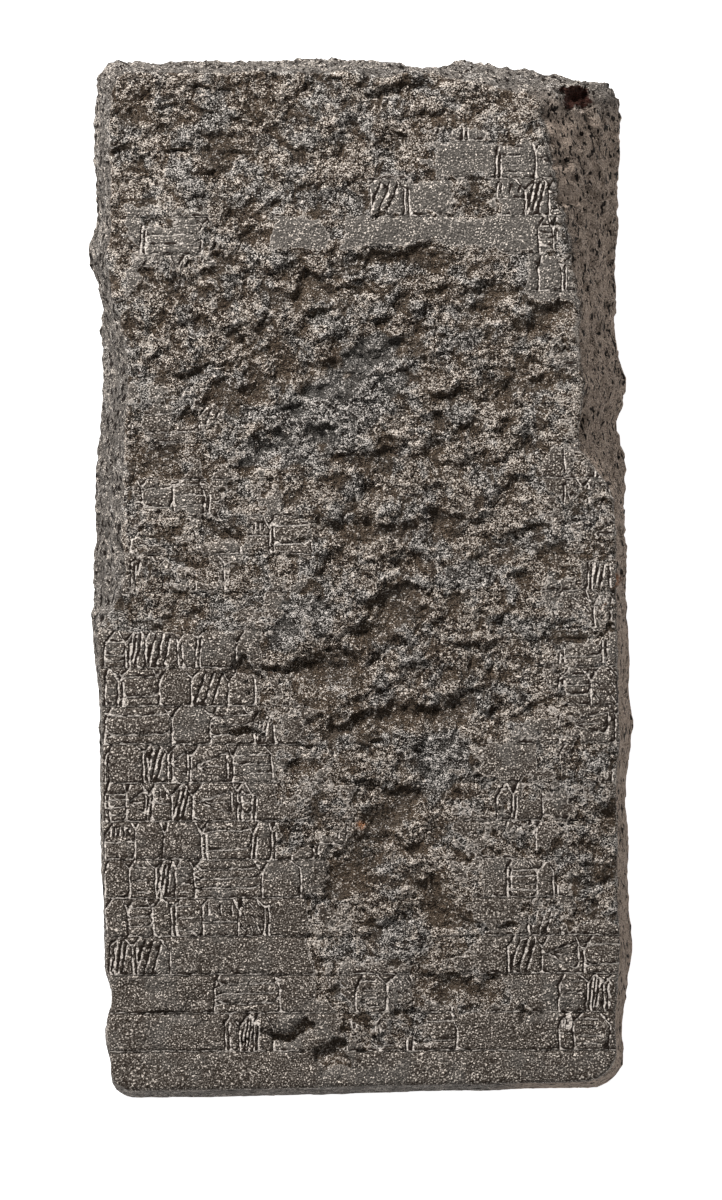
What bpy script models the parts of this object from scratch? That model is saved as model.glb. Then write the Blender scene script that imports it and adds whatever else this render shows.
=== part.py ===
# A cast lead tablet from the foundations of an ancient building, ruled and inscribed on one face.
# It lies on its back with the inscribed face up. Metres: +X right, +Y up the inscription, +Z up.
# The slab is one solid: a box cut into small cells, whose points are moved to the outline,
# the sloping sides and the worn face, then thinned where the surface is flat.
import math

import bmesh
import bpy
import numpy as np

# The slab
LENGTH = 0.723
WIDTH = 0.362
THICKNESS = 0.118
LEAN = 0.0075           # the head stands this far left of the foot
HEAD_FALL = 0.016       # the head edge drops this far towards its right corner
FOOT_RISE = 0.006       # the foot edge rises this far towards its right corner
HEAD_LEFT_RADIUS = 0.019
HEAD_RIGHT_RADIUS = 0.010
FOOT_LEFT_RADIUS = 0.019
FOOT_RIGHT_RADIUS = 0.025
RIM_RADIUS = 0.0025     # rounding of the inscribed face's rim
FOOT_UNDERCUT = 0.005   # how far the sides tuck in where the slab meets the ground
BELLY = 0.30            # height of the widest line round the sides, as a share of the thickness

# How far the inscribed face stops short of the widest line, where the sides slope outwards
SLOPE_LEFT = 0.002
SLOPE_RIGHT = 0.007
SLOPE_HEAD = 0.010
SLOPE_FOOT = 0.007
LEFT_BREAK = 0.017      # further slope at the broken stretch of the left side
RIGHT_BREAK = 0.021     # further slope along the upper part of the right side
CORNER_BREAK = 0.026    # and again towards the head's right corner

# Bumps (+) and bites (-) of the sides: (place along the side as a share, reach, push outwards)
LEFT_KNOCKS = [
    (0.821, 0.016, 0.006), (0.714, 0.038, -0.004), (0.540, 0.060, 0.003), (0.447, 0.034, 0.006),
    (0.280, 0.080, 0.002), (0.088, 0.014, -0.007), (0.020, 0.012, -0.004),
]
RIGHT_KNOCKS = [
    (0.940, 0.060, 0.003), (0.820, 0.030, -0.003), (0.755, 0.012, -0.003), (0.704, 0.012, 0.004),
    (0.655, 0.012, -0.005), (0.400, 0.220, 0.006), (0.349, 0.016, 0.002), (0.286, 0.020, -0.003),
    (0.130, 0.024, 0.003), (0.045, 0.025, -0.003),
]
HEAD_KNOCKS = [(0.40, 0.030, 0.001), (0.64, 0.018, -0.006), (0.71, 0.008, 0.002)]
FOOT_KNOCKS = [(0.25, 0.120, 0.002), (0.74, 0.012, 0.001)]
FACE_SHARE = 0.55       # how much of each knock reaches the inscribed face's rim
GROUND_SHARE = 0.70     # and how much reaches the ground

# The ruled lines and the made-up strokes between them, wider than the real cuts so that they show
ROWS = 26
LINE_PITCH = 0.0266
HEAD_PITCH = 0.0260     # the rows are ruled a little closer above the twelfth
FOOT_MARGIN = 0.0335    # from the foot edge to the first line
LINE_TILT = 0.004       # how much a line falls to the left, as a slope
LINE_WIDTH = 0.0036
LINE_DEPTH = 0.0012
STROKE_WIDTH = 0.0034
STROKE_DEPTH = 0.0012
FORK = 0.0042           # how far a sign's forked head reaches to each side
UPRIGHT_PAIR = 0.0030   # how far apart a pair of uprights stands
CELL_WIDTHS = (0.009, 0.028)
SIGN_SEED = 31

# The stretches of each row that hold signs: row from the foot, then pairs of shares across
SIGN_STRETCHES = {
    1: [(0.24, 0.30), (0.47, 0.53), (0.60, 0.66), (0.88, 0.96)],
    2: [(0.22, 0.33), (0.49, 0.61), (0.88, 0.97)],
    3: [(0.02, 0.12), (0.78, 0.96)],
    4: [(0.01, 0.28), (0.82, 0.88)],
    5: [(0.01, 0.38), (0.78, 0.86)],
    6: [(0.01, 0.43), (0.77, 0.88)],
    7: [(0.01, 0.28), (0.76, 0.84)],
    8: [(0.01, 0.27), (0.88, 0.99)],
    9: [(0.01, 0.30), (0.88, 0.99)],
    10: [(0.01, 0.26), (0.88, 0.99)],
    11: [(0.01, 0.28), (0.88, 0.99)],
    12: [(0.87, 0.99)],
    13: [(0.06, 0.19), (0.88, 0.99)],
    14: [(0.06, 0.14), (0.27, 0.37), (0.89, 0.99)],
    15: [(0.05, 0.20), (0.89, 0.98)],
    16: [(0.07, 0.15), (0.89, 0.97)],
    17: [(0.06, 0.22), (0.88, 0.95)],
    18: [(0.15, 0.23)],
    21: [(0.08, 0.19), (0.84, 0.93)],
    22: [(0.08, 0.20), (0.84, 0.92)],
    23: [(0.46, 0.54), (0.76, 0.90)],
    24: [(0.76, 0.90)],
    25: [(0.64, 0.68)],
}

# Where the inscribed skin survives, as shares of the width and the length: (left, right, low, high)
KEPT_SKIN = [
    (0.64, 0.87, 0.882, 0.916), (0.52, 0.68, 0.848, 0.880), (0.47, 0.80, 0.816, 0.847),
    (0.33, 0.43, 0.816, 0.848), (0.77, 0.89, 0.813, 0.895), (0.82, 0.91, 0.760, 0.813),
    (0.07, 0.20, 0.803, 0.838), (0.08, 0.13, 0.625, 0.662), (0.06, 0.20, 0.560, 0.595),
    (0.27, 0.37, 0.524, 0.561), (0.00, 0.31, 0.320, 0.450), (0.00, 0.34, 0.000, 0.360),
    (0.00, 0.45, 0.190, 0.233), (0.00, 0.41, 0.000, 0.225), (0.00, 0.47, 0.000, 0.094),
    (0.00, 1.00, 0.000, 0.054), (0.90, 1.00, 0.585, 0.600),
    (0.92, 1.00, 0.487, 0.515), (0.88, 1.00, 0.416, 0.440), (0.89, 1.00, 0.375, 0.416),
    (0.92, 1.00, 0.338, 0.377), (0.73, 0.84, 0.310, 0.343), (0.76, 0.81, 0.286, 0.315),
    (0.78, 0.85, 0.266, 0.288), (0.83, 0.87, 0.236, 0.268), (0.73, 0.88, 0.195, 0.233),
    (0.71, 0.81, 0.166, 0.197), (0.72, 0.80, 0.110, 0.165), (0.79, 1.00, 0.000, 0.166),
    (0.64, 1.00, 0.000, 0.088), (0.46, 0.60, 0.094, 0.128),
]

# The larger corroded hollows: (share across, share up, length, width, turn in degrees, depth)
HOLLOWS = [
    (0.24, 0.909, 0.042, 0.018, 5, 0.006), (0.29, 0.850, 0.035, 0.013, -10, 0.004),
    (0.22, 0.798, 0.031, 0.015, 30, 0.005), (0.13, 0.775, 0.042, 0.014, 10, 0.004),
    (0.40, 0.775, 0.052, 0.017, 25, 0.007), (0.52, 0.802, 0.049, 0.011, 10, 0.005),
    (0.64, 0.805, 0.042, 0.013, 0, 0.005), (0.75, 0.767, 0.042, 0.018, 35, 0.006),
    (0.47, 0.700, 0.052, 0.028, 32, 0.010), (0.31, 0.721, 0.024, 0.015, 10, 0.006),
    (0.26, 0.677, 0.043, 0.020, 10, 0.007), (0.16, 0.652, 0.017, 0.011, 0, 0.005),
    (0.10, 0.612, 0.028, 0.035, 80, 0.005), (0.80, 0.684, 0.049, 0.021, 10, 0.007),
    (0.85, 0.748, 0.042, 0.017, 30, 0.007), (0.58, 0.722, 0.028, 0.017, 20, 0.005),
    (0.53, 0.614, 0.031, 0.021, 20, 0.005), (0.64, 0.619, 0.025, 0.015, 10, 0.005),
    (0.43, 0.633, 0.028, 0.014, 20, 0.005), (0.53, 0.545, 0.063, 0.015, 0, 0.006),
    (0.67, 0.550, 0.035, 0.014, 10, 0.004), (0.24, 0.543, 0.028, 0.014, 10, 0.004),
    (0.56, 0.466, 0.046, 0.028, 50, 0.009), (0.44, 0.403, 0.049, 0.035, 10, 0.011),
    (0.26, 0.408, 0.046, 0.013, 0, 0.006), (0.53, 0.361, 0.077, 0.017, 10, 0.009),
    (0.26, 0.351, 0.032, 0.013, 0, 0.006), (0.67, 0.372, 0.035, 0.018, 20, 0.006),
    (0.55, 0.265, 0.077, 0.021, 38, 0.007), (0.39, 0.319, 0.028, 0.014, 20, 0.004),
    (0.48, 0.214, 0.056, 0.020, 25, 0.006), (0.63, 0.195, 0.042, 0.017, -30, 0.006),
    (0.67, 0.173, 0.035, 0.015, -10, 0.006), (0.68, 0.107, 0.049, 0.018, 0, 0.006),
    (0.35, 0.059, 0.042, 0.017, 10, 0.009), (0.44, 0.040, 0.039, 0.018, -10, 0.008),
    (0.10, 0.108, 0.031, 0.018, 15, 0.006), (0.16, 0.084, 0.039, 0.015, 25, 0.006),
    (0.89, 0.866, 0.014, 0.021, 90, 0.004), (0.13, 0.456, 0.056, 0.011, 5, 0.004),
    (0.86, 0.523, 0.031, 0.017, 10, 0.004), (0.96, 0.219, 0.035, 0.015, 0, 0.005),
    (0.31, 0.951, 0.035, 0.015, 0, 0.004), (0.06, 0.947, 0.025, 0.018, 0, 0.005),
    (0.82, 0.075, 0.009, 0.007, 60, 0.005),
]
HOLLOW_WANDER = 0.011   # how far a hollow's rim wanders, and over what distance
HOLLOW_WAVE = 0.015
HOLLOW_ON_SKIN = 0.40   # how much shallower a hollow is where the skin survives over it
CORNER_HOLE = (0.916, 0.964, 0.012, 0.010)   # in the broken corner: across, up, radius, depth

# The corroded ground between the patches of skin
SKIN_EDGE = 0.0030      # width of the step between them
SKIN_WANDER = 0.0110    # how far the skin's border wanders
SKIN_DENT = 0.0007      # how much the skin itself rises and falls
GROUND_DEEP = 0.0034    # mean depth of the ground far from the skin
GROUND_NEAR = 0.0008    # and where it starts, at the skin's border
GROUND_FALL = 0.016     # distance from the border to the full depth
RIDGES = [              # turn in degrees, length, spacing, height
    (6, 0.034, 0.013, 0.0027), (36, 0.040, 0.017, 0.0029),
]
BROAD_HEIGHT = 0.0014
BROAD_SIZE = 0.050
LUMP_HEIGHT = 0.0016
LUMP_SIZE = 0.0120
CRUST_STRAY = 0.0040    # how far the crust's lumps are pushed about, and over what distance
CRUST_WAVE = 0.0130
SIDE_STRETCH = 1.6      # the sides' lumps are this much longer along the slab
SIDE_LUMPS = [(0.024, 0.0026), (0.011, 0.0022)]   # size, height
EDGE_REACH = 24         # how steeply the sides' lumps fade into the face, as a power

# The mesh and its finish
CELL = 0.0016
DOWN_CELL = 0.0036
TRIANGLES = 9600
CUT_SPARE = 0.1         # how freely the points of a cut are thinned, where all others have 1
KEEP_COST = 0.0007      # and how much that counts, as a height
LEVEL_WITHIN = 0.0002   # points this near the ground are set on it
LEAD = (0.105, 0.092, 0.080, 1.0)
LEAD_ROUGHNESS = 0.78
LEAD_METALLIC = 0.15


def smooth(low, high, value):
    """0 below low, 1 above high, with an S curve between."""
    share = np.clip((value - low) / (high - low), 0.0, 1.0)
    return share * share * (3.0 - 2.0 * share)


def sheet_noise(x, y, size, seed):
    """Gradient noise over a plane, about -1 to 1, with one lump to each size: every corner of a
    square lattice has a random slope, and the slopes of the four corners round a point are
    blended with a curve that is flat at both ends."""
    draw = np.random.default_rng(seed)
    order = draw.permutation(256)
    turn = draw.uniform(0, 2 * math.pi, 256)
    column, row = np.floor(x / size), np.floor(y / size)
    right, up = x / size - column, y / size - row
    column, row = column.astype(int), row.astype(int)
    fade_right = right ** 3 * (right * (right * 6 - 15) + 10)
    fade_up = up ** 3 * (up * (up * 6 - 15) + 10)
    total = np.zeros_like(right)
    for i, across in enumerate((1 - fade_right, fade_right)):
        for j, along in enumerate((1 - fade_up, fade_up)):
            key = turn[order[(order[(column + i) & 255] + row + j) & 255]]
            total += across * along * (np.cos(key) * (right - i) + np.sin(key) * (up - j))
    return 1.4 * total


def lump_noise(x, y, z, size, seed):
    """The same in space, blended from the eight corners of a cube."""
    draw = np.random.default_rng(seed)
    order = draw.permutation(256)
    slopes = draw.normal(size=(256, 3))
    slopes /= np.linalg.norm(slopes, axis=1)[:, None]
    spots = np.stack([x, y, z], axis=-1) / size
    base = np.floor(spots).astype(int)
    inside = spots - base
    fade = inside ** 3 * (inside * (inside * 6 - 15) + 10)
    total = np.zeros(len(spots))
    for corner in np.ndindex(2, 2, 2):
        cell = (base + corner) & 255
        key = order[(order[(order[cell[:, 0]] + cell[:, 1]) & 255] + cell[:, 2]) & 255]
        lift = (slopes[key] * (inside - corner)).sum(axis=1)
        weight = np.where(np.array(corner) == 1, fade, 1 - fade).prod(axis=1)
        total += weight * lift
    return total * 1.5


def knocked(share, side_length, knocks):
    """The sum of the bumps and bites along a side, each a bell curve."""
    push = np.zeros_like(share)
    for place, reach, height in knocks:
        push += height * np.exp(-(((share - place) * side_length / reach) ** 2))
    return push


def corner_inset(share, side_length, first_radius, last_radius):
    """How far a side draws in near its two ends, so that the corners are round."""
    radius = np.where(share < 0.5, first_radius, last_radius)
    ends = np.minimum(share, 1 - share) * side_length
    short = np.clip(radius * math.sqrt(0.5) - ends, 0, None)
    return radius - np.sqrt(radius ** 2 - short ** 2)


def outline_point(u, v, knock_share):
    """The outline's plan at share u across and v up: opposite sides joined by straight lines."""
    lean = LEAN * (0.5 - v)
    left = lean - WIDTH / 2 - knock_share * knocked(v, LENGTH, LEFT_KNOCKS)
    left += corner_inset(v, LENGTH, FOOT_LEFT_RADIUS, HEAD_LEFT_RADIUS)
    right = lean + WIDTH / 2 + knock_share * knocked(v, LENGTH, RIGHT_KNOCKS)
    right -= corner_inset(v, LENGTH, FOOT_RIGHT_RADIUS, HEAD_RIGHT_RADIUS)
    head = LENGTH / 2 - HEAD_FALL * smooth(0.68, 1.05, u) + knock_share * knocked(u, WIDTH, HEAD_KNOCKS)
    head -= corner_inset(u, WIDTH, HEAD_LEFT_RADIUS, HEAD_RIGHT_RADIUS)
    foot = -LENGTH / 2 + FOOT_RISE * u - knock_share * knocked(u, WIDTH, FOOT_KNOCKS)
    foot += corner_inset(u, WIDTH, FOOT_LEFT_RADIUS, FOOT_RIGHT_RADIUS)
    return left + u * (right - left), foot + v * (head - foot)


def face_point(u, v):
    """The inscribed face's plan: the outline drawn in by the width of each sloping side."""
    x, y = outline_point(u, v, FACE_SHARE)
    left = SLOPE_LEFT + LEFT_BREAK * smooth(0.44, 0.50, v) * smooth(0.80, 0.72, v)
    left = left + 0.5 * LEFT_BREAK * smooth(0.72, 0.80, v)
    right = SLOPE_RIGHT + RIGHT_BREAK * smooth(0.585, 0.645, v)
    right = right + CORNER_BREAK * smooth(0.78, 1.0, v)
    return x + left * (1 - u) - right * u, y + SLOPE_FOOT * (1 - v) - SLOPE_HEAD * v


def row_height(row):
    """Height of the ruled line under a row, from the slab's middle."""
    lower = np.minimum(row - 1, 11) * LINE_PITCH
    upper = np.maximum(row - 12, 0) * HEAD_PITCH
    return -LENGTH / 2 + FOOT_MARGIN + lower + upper


def plain_cell(draw):
    """A cell left empty."""
    return []


def barred_cell(draw):
    """Level bars from one side of the cell to the other."""
    levels = np.linspace(0.0, draw.uniform(0.66, 0.86), draw.integers(3, 5) + 1)[1:]
    return [(0, level, 1, level + draw.uniform(-0.04, 0.04)) for level in levels]


def spindle_cell(draw):
    """Long level bars, each a pair of lines that part at both ends."""
    strokes = []
    for level in np.linspace(0.24, 0.74, draw.integers(2, 4)):
        strokes += [(0.12, level, 0.88, level + 0.03), (0.12, level, 0.0, level - 0.09)]
        strokes += [(0.12, level, 0.0, level + 0.10), (0.88, level + 0.03, 1.0, level + 0.13)]
    return strokes


def dart_cell(draw):
    """A long closed point with a line along its middle, clear of the uprights."""
    middle, spread = draw.uniform(0.40, 0.52), draw.uniform(0.28, 0.38)
    return [(0.12, middle, 0.86, middle + spread), (0.30, middle, 0.70, middle),
            (0.12, middle, 0.86, middle - spread), (0.86, middle + spread, 0.86, middle - spread)]


def dashed_cell(draw):
    """Short level dashes, one above another, that touch neither side."""
    levels = np.linspace(0.15, 0.80, draw.integers(3, 5))
    return [(0.22, level, draw.uniform(0.60, 0.80), level) for level in levels]


def notched_cell(draw):
    """Short upright marks side by side over a bar, clear of it."""
    level = draw.uniform(0.38, 0.50)
    shares = np.linspace(0.18, 0.82, draw.integers(3, 6))
    return [(0, level, 1, level)] + [(share, level + 0.14, share, 0.84) for share in shares]


def stacked_cell(draw):
    """Short slanting marks in rows, one row above another."""
    shares = np.linspace(0.20, 0.80, draw.integers(2, 4))
    return [
        (share - 0.08, level + 0.09, share + 0.09, level - 0.07)
        for level in (0.18, 0.48, 0.78) for share in shares
    ]


def slanted_cell(draw):
    """Long slanting marks side by side."""
    lean = draw.uniform(0.20, 0.34)
    return [(share, 0.10, share + lean, 0.88) for share in np.linspace(0.12, 0.58, 3)]


def forked_upright(x, low, high, sides, draw):
    """The upright between two cells, one line or two side by side: its head forks to the given
    sides, up to the line above."""
    fork = low + draw.uniform(0.58, 0.80) * (high - low)
    reach = FORK * draw.uniform(0.7, 2.0)
    foot = x + draw.uniform(-0.3, 0.3) * UPRIGHT_PAIR
    strokes = [(foot, low, x, fork)] + [(x, fork, x + side * reach, high) for side in sides]
    if draw.random() < 0.35:
        strokes.append((foot + UPRIGHT_PAIR, low, x + UPRIGHT_PAIR, fork))
    return strokes


def sign_strokes():
    """Made-up signs along the stretches of each row, as a chain of cells between uprights: the
    strokes are (x, y, x, y) of their ends."""
    draw = np.random.default_rng(SIGN_SEED)
    shapes = [plain_cell, barred_cell, plain_cell, dart_cell, spindle_cell, plain_cell,
              dashed_cell, notched_cell, stacked_cell, slanted_cell]
    wider = {dart_cell: 1.4, spindle_cell: 1.8}
    strokes = []
    for row, stretches in SIGN_STRETCHES.items():
        tilt = LINE_TILT * np.array([start - 0.5 for start, end in stretches]) * WIDTH
        for (start, end), lift in zip(stretches, tilt):
            low, high = row_height(row) + lift, row_height(row + 1) + lift
            x, last = (start - 0.5) * WIDTH, (end - 0.5) * WIDTH
            sides = [1]
            while x < last:
                shape = shapes[draw.integers(len(shapes))]
                width = draw.uniform(*CELL_WIDTHS) * wider.get(shape, 1.0)
                strokes += forked_upright(x, low, high, sides, draw)
                for x0, y0, x1, y1 in shape(draw):
                    tall = high - low
                    strokes.append((x + x0 * width, low + y0 * tall, x + x1 * width, low + y1 * tall))
                x, sides = x + width, [-1, 1]
            strokes += forked_upright(x, low, high, [-1], draw)
    return strokes


def stroke_distance(x, y):
    """Distance to the middle of the nearest stroke, at most one row's height."""
    nearest = np.full_like(x, LINE_PITCH)
    for x0, y0, x1, y1 in sign_strokes():
        near = np.flatnonzero(
            (x > min(x0, x1) - STROKE_WIDTH) & (x < max(x0, x1) + STROKE_WIDTH)
            & (y > min(y0, y1) - STROKE_WIDTH) & (y < max(y0, y1) + STROKE_WIDTH)
        )
        dx, dy = x1 - x0, y1 - y0
        share = ((x[near] - x0) * dx + (y[near] - y0) * dy) / (dx * dx + dy * dy)
        share = np.clip(share, 0, 1)
        away = np.hypot(x[near] - x0 - share * dx, y[near] - y0 - share * dy)
        nearest[near] = np.minimum(nearest[near], away)
    return nearest


def line_distance(x, y):
    """Distance to the middle of the nearest ruled line."""
    heights = row_height(np.arange(1, ROWS + 1))
    level = y - LINE_TILT * x
    above = np.clip(np.searchsorted(heights, level), 1, ROWS - 1)
    return np.minimum(np.abs(level - heights[above - 1]), np.abs(heights[above] - level))


def groove(away, width):
    """Share of a groove's depth at a distance from its middle: a cosine trough."""
    return 0.5 + 0.5 * np.cos(np.pi * np.clip(2 * away / width, 0, 1))


def cut_depth(x, y):
    """Depth of the ruled lines and the strokes together."""
    lines = LINE_DEPTH * groove(line_distance(x, y), LINE_WIDTH)
    return np.maximum(lines, STROKE_DEPTH * groove(stroke_distance(x, y), STROKE_WIDTH))


def depth_inside(place, low, high, size):
    """Distance inside a stretch given in shares; an end at the slab's own edge doesn't count."""
    from_low = place - (low - 0.5) * size if low > 0 else np.full_like(place, size)
    from_high = (high - 0.5) * size - place if high < 1 else np.full_like(place, size)
    return np.minimum(from_low, from_high)


def skin_depth(x, y):
    """Distance inside the surviving skin's border, negative outside: the depth inside the nearest
    patch, moved by noise."""
    wander = 0.50 * sheet_noise(x, y, 0.030, 11) + 0.35 * sheet_noise(x, y, 0.011, 12)
    inside = np.full_like(x, -LENGTH)
    for left, right, low, high in KEPT_SKIN:
        depth = np.minimum(
            depth_inside(x, left, right, WIDTH), depth_inside(y, low, high, LENGTH)
        )
        inside = np.maximum(inside, depth)
    return inside + SKIN_WANDER * wander


def hollow_depth(x, y):
    """Depth of the hollows: bowls that start gently, each an ellipse with a wandering rim."""
    deep = np.zeros_like(x)
    stray_x = HOLLOW_WANDER * sheet_noise(x, y, HOLLOW_WAVE, 51)
    stray_y = HOLLOW_WANDER * sheet_noise(x, y, HOLLOW_WAVE, 52)
    for across, up, length, width, turn, depth in HOLLOWS:
        dx = x + stray_x - (across - 0.5) * WIDTH
        dy = y + stray_y - (up - 0.5) * LENGTH
        c, s = math.cos(math.radians(turn)), math.sin(math.radians(turn))
        along = (dx * c + dy * s) / (length * 0.66)
        beside = (dy * c - dx * s) / (width * 0.66)
        bowl = np.clip(1 - along ** 2 - beside ** 2, 0, 1)
        deep = np.maximum(deep, 0.60 * depth * bowl)
    return deep


def crust_rise(x, y):
    """Rise of the corroded ground above its mean: slanting ridges and lumps, pushed about by noise."""
    x, y = (
        x + CRUST_STRAY * sheet_noise(x, y, CRUST_WAVE, 23),
        y + CRUST_STRAY * sheet_noise(x, y, CRUST_WAVE, 24),
    )
    rise = LUMP_HEIGHT * sheet_noise(x, y, LUMP_SIZE, 22)
    rise += BROAD_HEIGHT * sheet_noise(x, y, BROAD_SIZE, 25)
    for turn, length, spacing, height in RIDGES:
        c, s = math.cos(math.radians(turn)), math.sin(math.radians(turn))
        along, beside = (x * c + y * s) / length, (y * c - x * s) / spacing
        rise += height * sheet_noise(along, beside, 1.0, 28 + turn)
    return rise


def face_relief(x, y):
    """How far each point of the face lies below the plane it was cast to."""
    inside = skin_depth(x, y)
    kept = smooth(-SKIN_EDGE / 2, SKIN_EDGE / 2, inside)
    far = smooth(0, GROUND_FALL, -inside)
    bowls = hollow_depth(x, y)
    calm = 1 - 0.5 * np.clip(bowls / 0.006, 0, 1)
    ground = GROUND_NEAR + (GROUND_DEEP - GROUND_NEAR) * far - calm * (0.4 + 0.6 * far) * crust_rise(x, y)
    cuts = cut_depth(x, y)
    dents = SKIN_DENT * sheet_noise(x, y, 0.034, 15)
    skin = cuts + dents + bowls * (1 - HOLLOW_ON_SKIN)
    worn = np.maximum(ground, 0.0004) + bowls + cuts * (1 - far) * 0.8
    return worn + (skin - worn) * kept


def rim_drop(u, v):
    """Rounding of the face's rim: a quarter circle across the last few millimetres."""
    near = np.minimum(np.minimum(u, 1 - u) * WIDTH, np.minimum(v, 1 - v) * LENGTH)
    short = np.clip(RIM_RADIUS - near, 0, None)
    return RIM_RADIUS - np.sqrt(RIM_RADIUS ** 2 - short ** 2)


def corner_bowl(x, y, z):
    """Share of the corner hole's depth: a bowl in plan, only in the slab's upper half."""
    across, up, radius, depth = CORNER_HOLE
    reach = np.hypot(x - (across - 0.5) * WIDTH, (y - (up - 0.5) * LENGTH) * 1.2) / radius
    reach = reach * (1 + 0.7 * sheet_noise(x, y, 0.009, 71) + 0.3 * sheet_noise(x, y, 0.004, 72))
    return np.clip(1 - reach ** 2, 0, 1) * smooth(0.3, 0.5, z / THICKNESS)


def corner_hole(points):
    """Sink the deep hole that is eaten into the head's right corner."""
    inward = np.array([-0.4, -0.3, -0.87]) * CORNER_HOLE[3]
    return points + inward * corner_bowl(*points.T)[:, None]


def side_wear(u, v):
    """How rough each side is: calm at the foot and low on both sides, rough towards the head."""
    foot = 0.35 + 0.65 * smooth(0.0, 0.02, v)
    return foot * (0.5 + 0.5 * smooth(0.40, 0.50, v))


def side_push(x, y, z):
    """How far the sides' lumps stand out."""
    y = y / SIDE_STRETCH
    return sum(
        height * lump_noise(x, y, z, size, 41 + i) for i, (size, height) in enumerate(SIDE_LUMPS)
    )


def slab_points(u, v, t):
    """Places for the box's points: u across, v up, and t down the sides from face to ground."""
    face_x, face_y = face_point(u, v)
    belly_x, belly_y = outline_point(u, v, 1.0)
    ground_x, ground_y = outline_point(u, v, GROUND_SHARE)
    slope = np.minimum(t / (1 - BELLY), 1.0) ** 0.85
    under = smooth(1 - BELLY, 1.0, t)
    x = face_x + (belly_x - face_x) * slope + (ground_x - belly_x) * under
    y = face_y + (belly_y - face_y) * slope + (ground_y - belly_y) * under
    z = (THICKNESS - face_relief(face_x, face_y) - rim_drop(u, v)) * (1 - t)
    push = side_wear(u, v) * side_push(x, y, z) - FOOT_UNDERCUT * smooth(1 - BELLY / 2, 1.0, t)
    push = push * (0.35 + 0.65 * smooth(0, 0.05, t))
    out_u, out_v = 2 * u - 1, 2 * v - 1
    x = x + push * np.sign(out_u) * np.abs(out_u) ** EDGE_REACH
    y = y + push * np.sign(out_v) * np.abs(out_v) ** EDGE_REACH
    return corner_hole(np.stack([x, y, z], axis=-1))


def box_of_cells(across, along, down):
    """A unit box cut into cells, its points shared where the sides meet."""
    cells = bmesh.new()
    bmesh.ops.create_cube(cells, size=1.0)
    for axis, count in enumerate((across, along, down)):
        runs = [e for e in cells.edges if abs(e.verts[0].co[axis] - e.verts[1].co[axis]) > 0.5]
        bmesh.ops.subdivide_edges(cells, edges=runs, cuts=count - 1, use_grid_fill=True)
    mesh = bpy.data.meshes.new("lead_tablet")
    cells.to_mesh(mesh)
    cells.free()
    return mesh


def lead():
    """Dull, dark grey-brown corroded lead."""
    material = bpy.data.materials.new("corroded_lead")
    material.use_nodes = True
    surface = material.node_tree.nodes["Principled BSDF"]
    surface.inputs["Base Color"].default_value = LEAD
    surface.inputs["Roughness"].default_value = LEAD_ROUGHNESS
    surface.inputs["Metallic"].default_value = LEAD_METALLIC
    return material


def mesh_points(mesh):
    """The mesh's points as rows of three numbers."""
    flat = np.empty(len(mesh.vertices) * 3)
    mesh.vertices.foreach_get("co", flat)
    return flat.reshape(-1, 3)


def fine_slab():
    """The slab in small cells, every point rounded to a hundredth of a millimetre, with a group of
    points that weighs how freely each may be thinned: least where cuts survive in the skin."""
    mesh = box_of_cells(round(WIDTH / CELL), round(LENGTH / CELL), round(THICKNESS / DOWN_CELL))
    u, v, t = (mesh_points(mesh) * [1, 1, -1] + 0.5).T
    x, y = face_point(u, v)
    mesh.vertices.foreach_set("co", np.round(slab_points(u, v, t), 5).ravel())
    slab = bpy.data.objects.new("lead_tablet", mesh)
    on_cut = (t == 0) & (skin_depth(x, y) > 0) & (cut_depth(x, y) > 0)
    group = slab.vertex_groups.new(name="spare")
    group.add(np.flatnonzero(on_cut).tolist(), CUT_SPARE, "REPLACE")
    group.add(np.flatnonzero(~on_cut).tolist(), 1.0, "REPLACE")
    return slab


def thinned(slab):
    """The slab's mesh with fewer triangles where it is flat, centred over a level underside."""
    thin = slab.modifiers.new("thin_flat_parts", "DECIMATE")
    thin.ratio = TRIANGLES / (2 * len(slab.data.polygons))
    thin.vertex_group = "spare"
    thin.vertex_group_factor = KEEP_COST
    seen = slab.evaluated_get(bpy.context.evaluated_depsgraph_get())
    mesh = bpy.data.meshes.new_from_object(seen)
    slab.modifiers.remove(thin)
    slab.vertex_groups.clear()
    points = mesh_points(mesh)
    middle = (points.min(axis=0) + points.max(axis=0)) / 2
    points = np.round(points - [middle[0], middle[1], 0], 5)
    points[points[:, 2] < LEVEL_WITHIN, 2] = 0
    mesh.vertices.foreach_set("co", points.ravel())
    return mesh


for old in list(bpy.data.objects):
    bpy.data.objects.remove(old, do_unlink=True)
collection = bpy.data.collections.new("lead_tablet")
bpy.context.scene.collection.children.link(collection)
tablet = fine_slab()
collection.objects.link(tablet)
tablet.data = thinned(tablet)
tablet.data.materials.append(lead())
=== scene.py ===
import math

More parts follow.
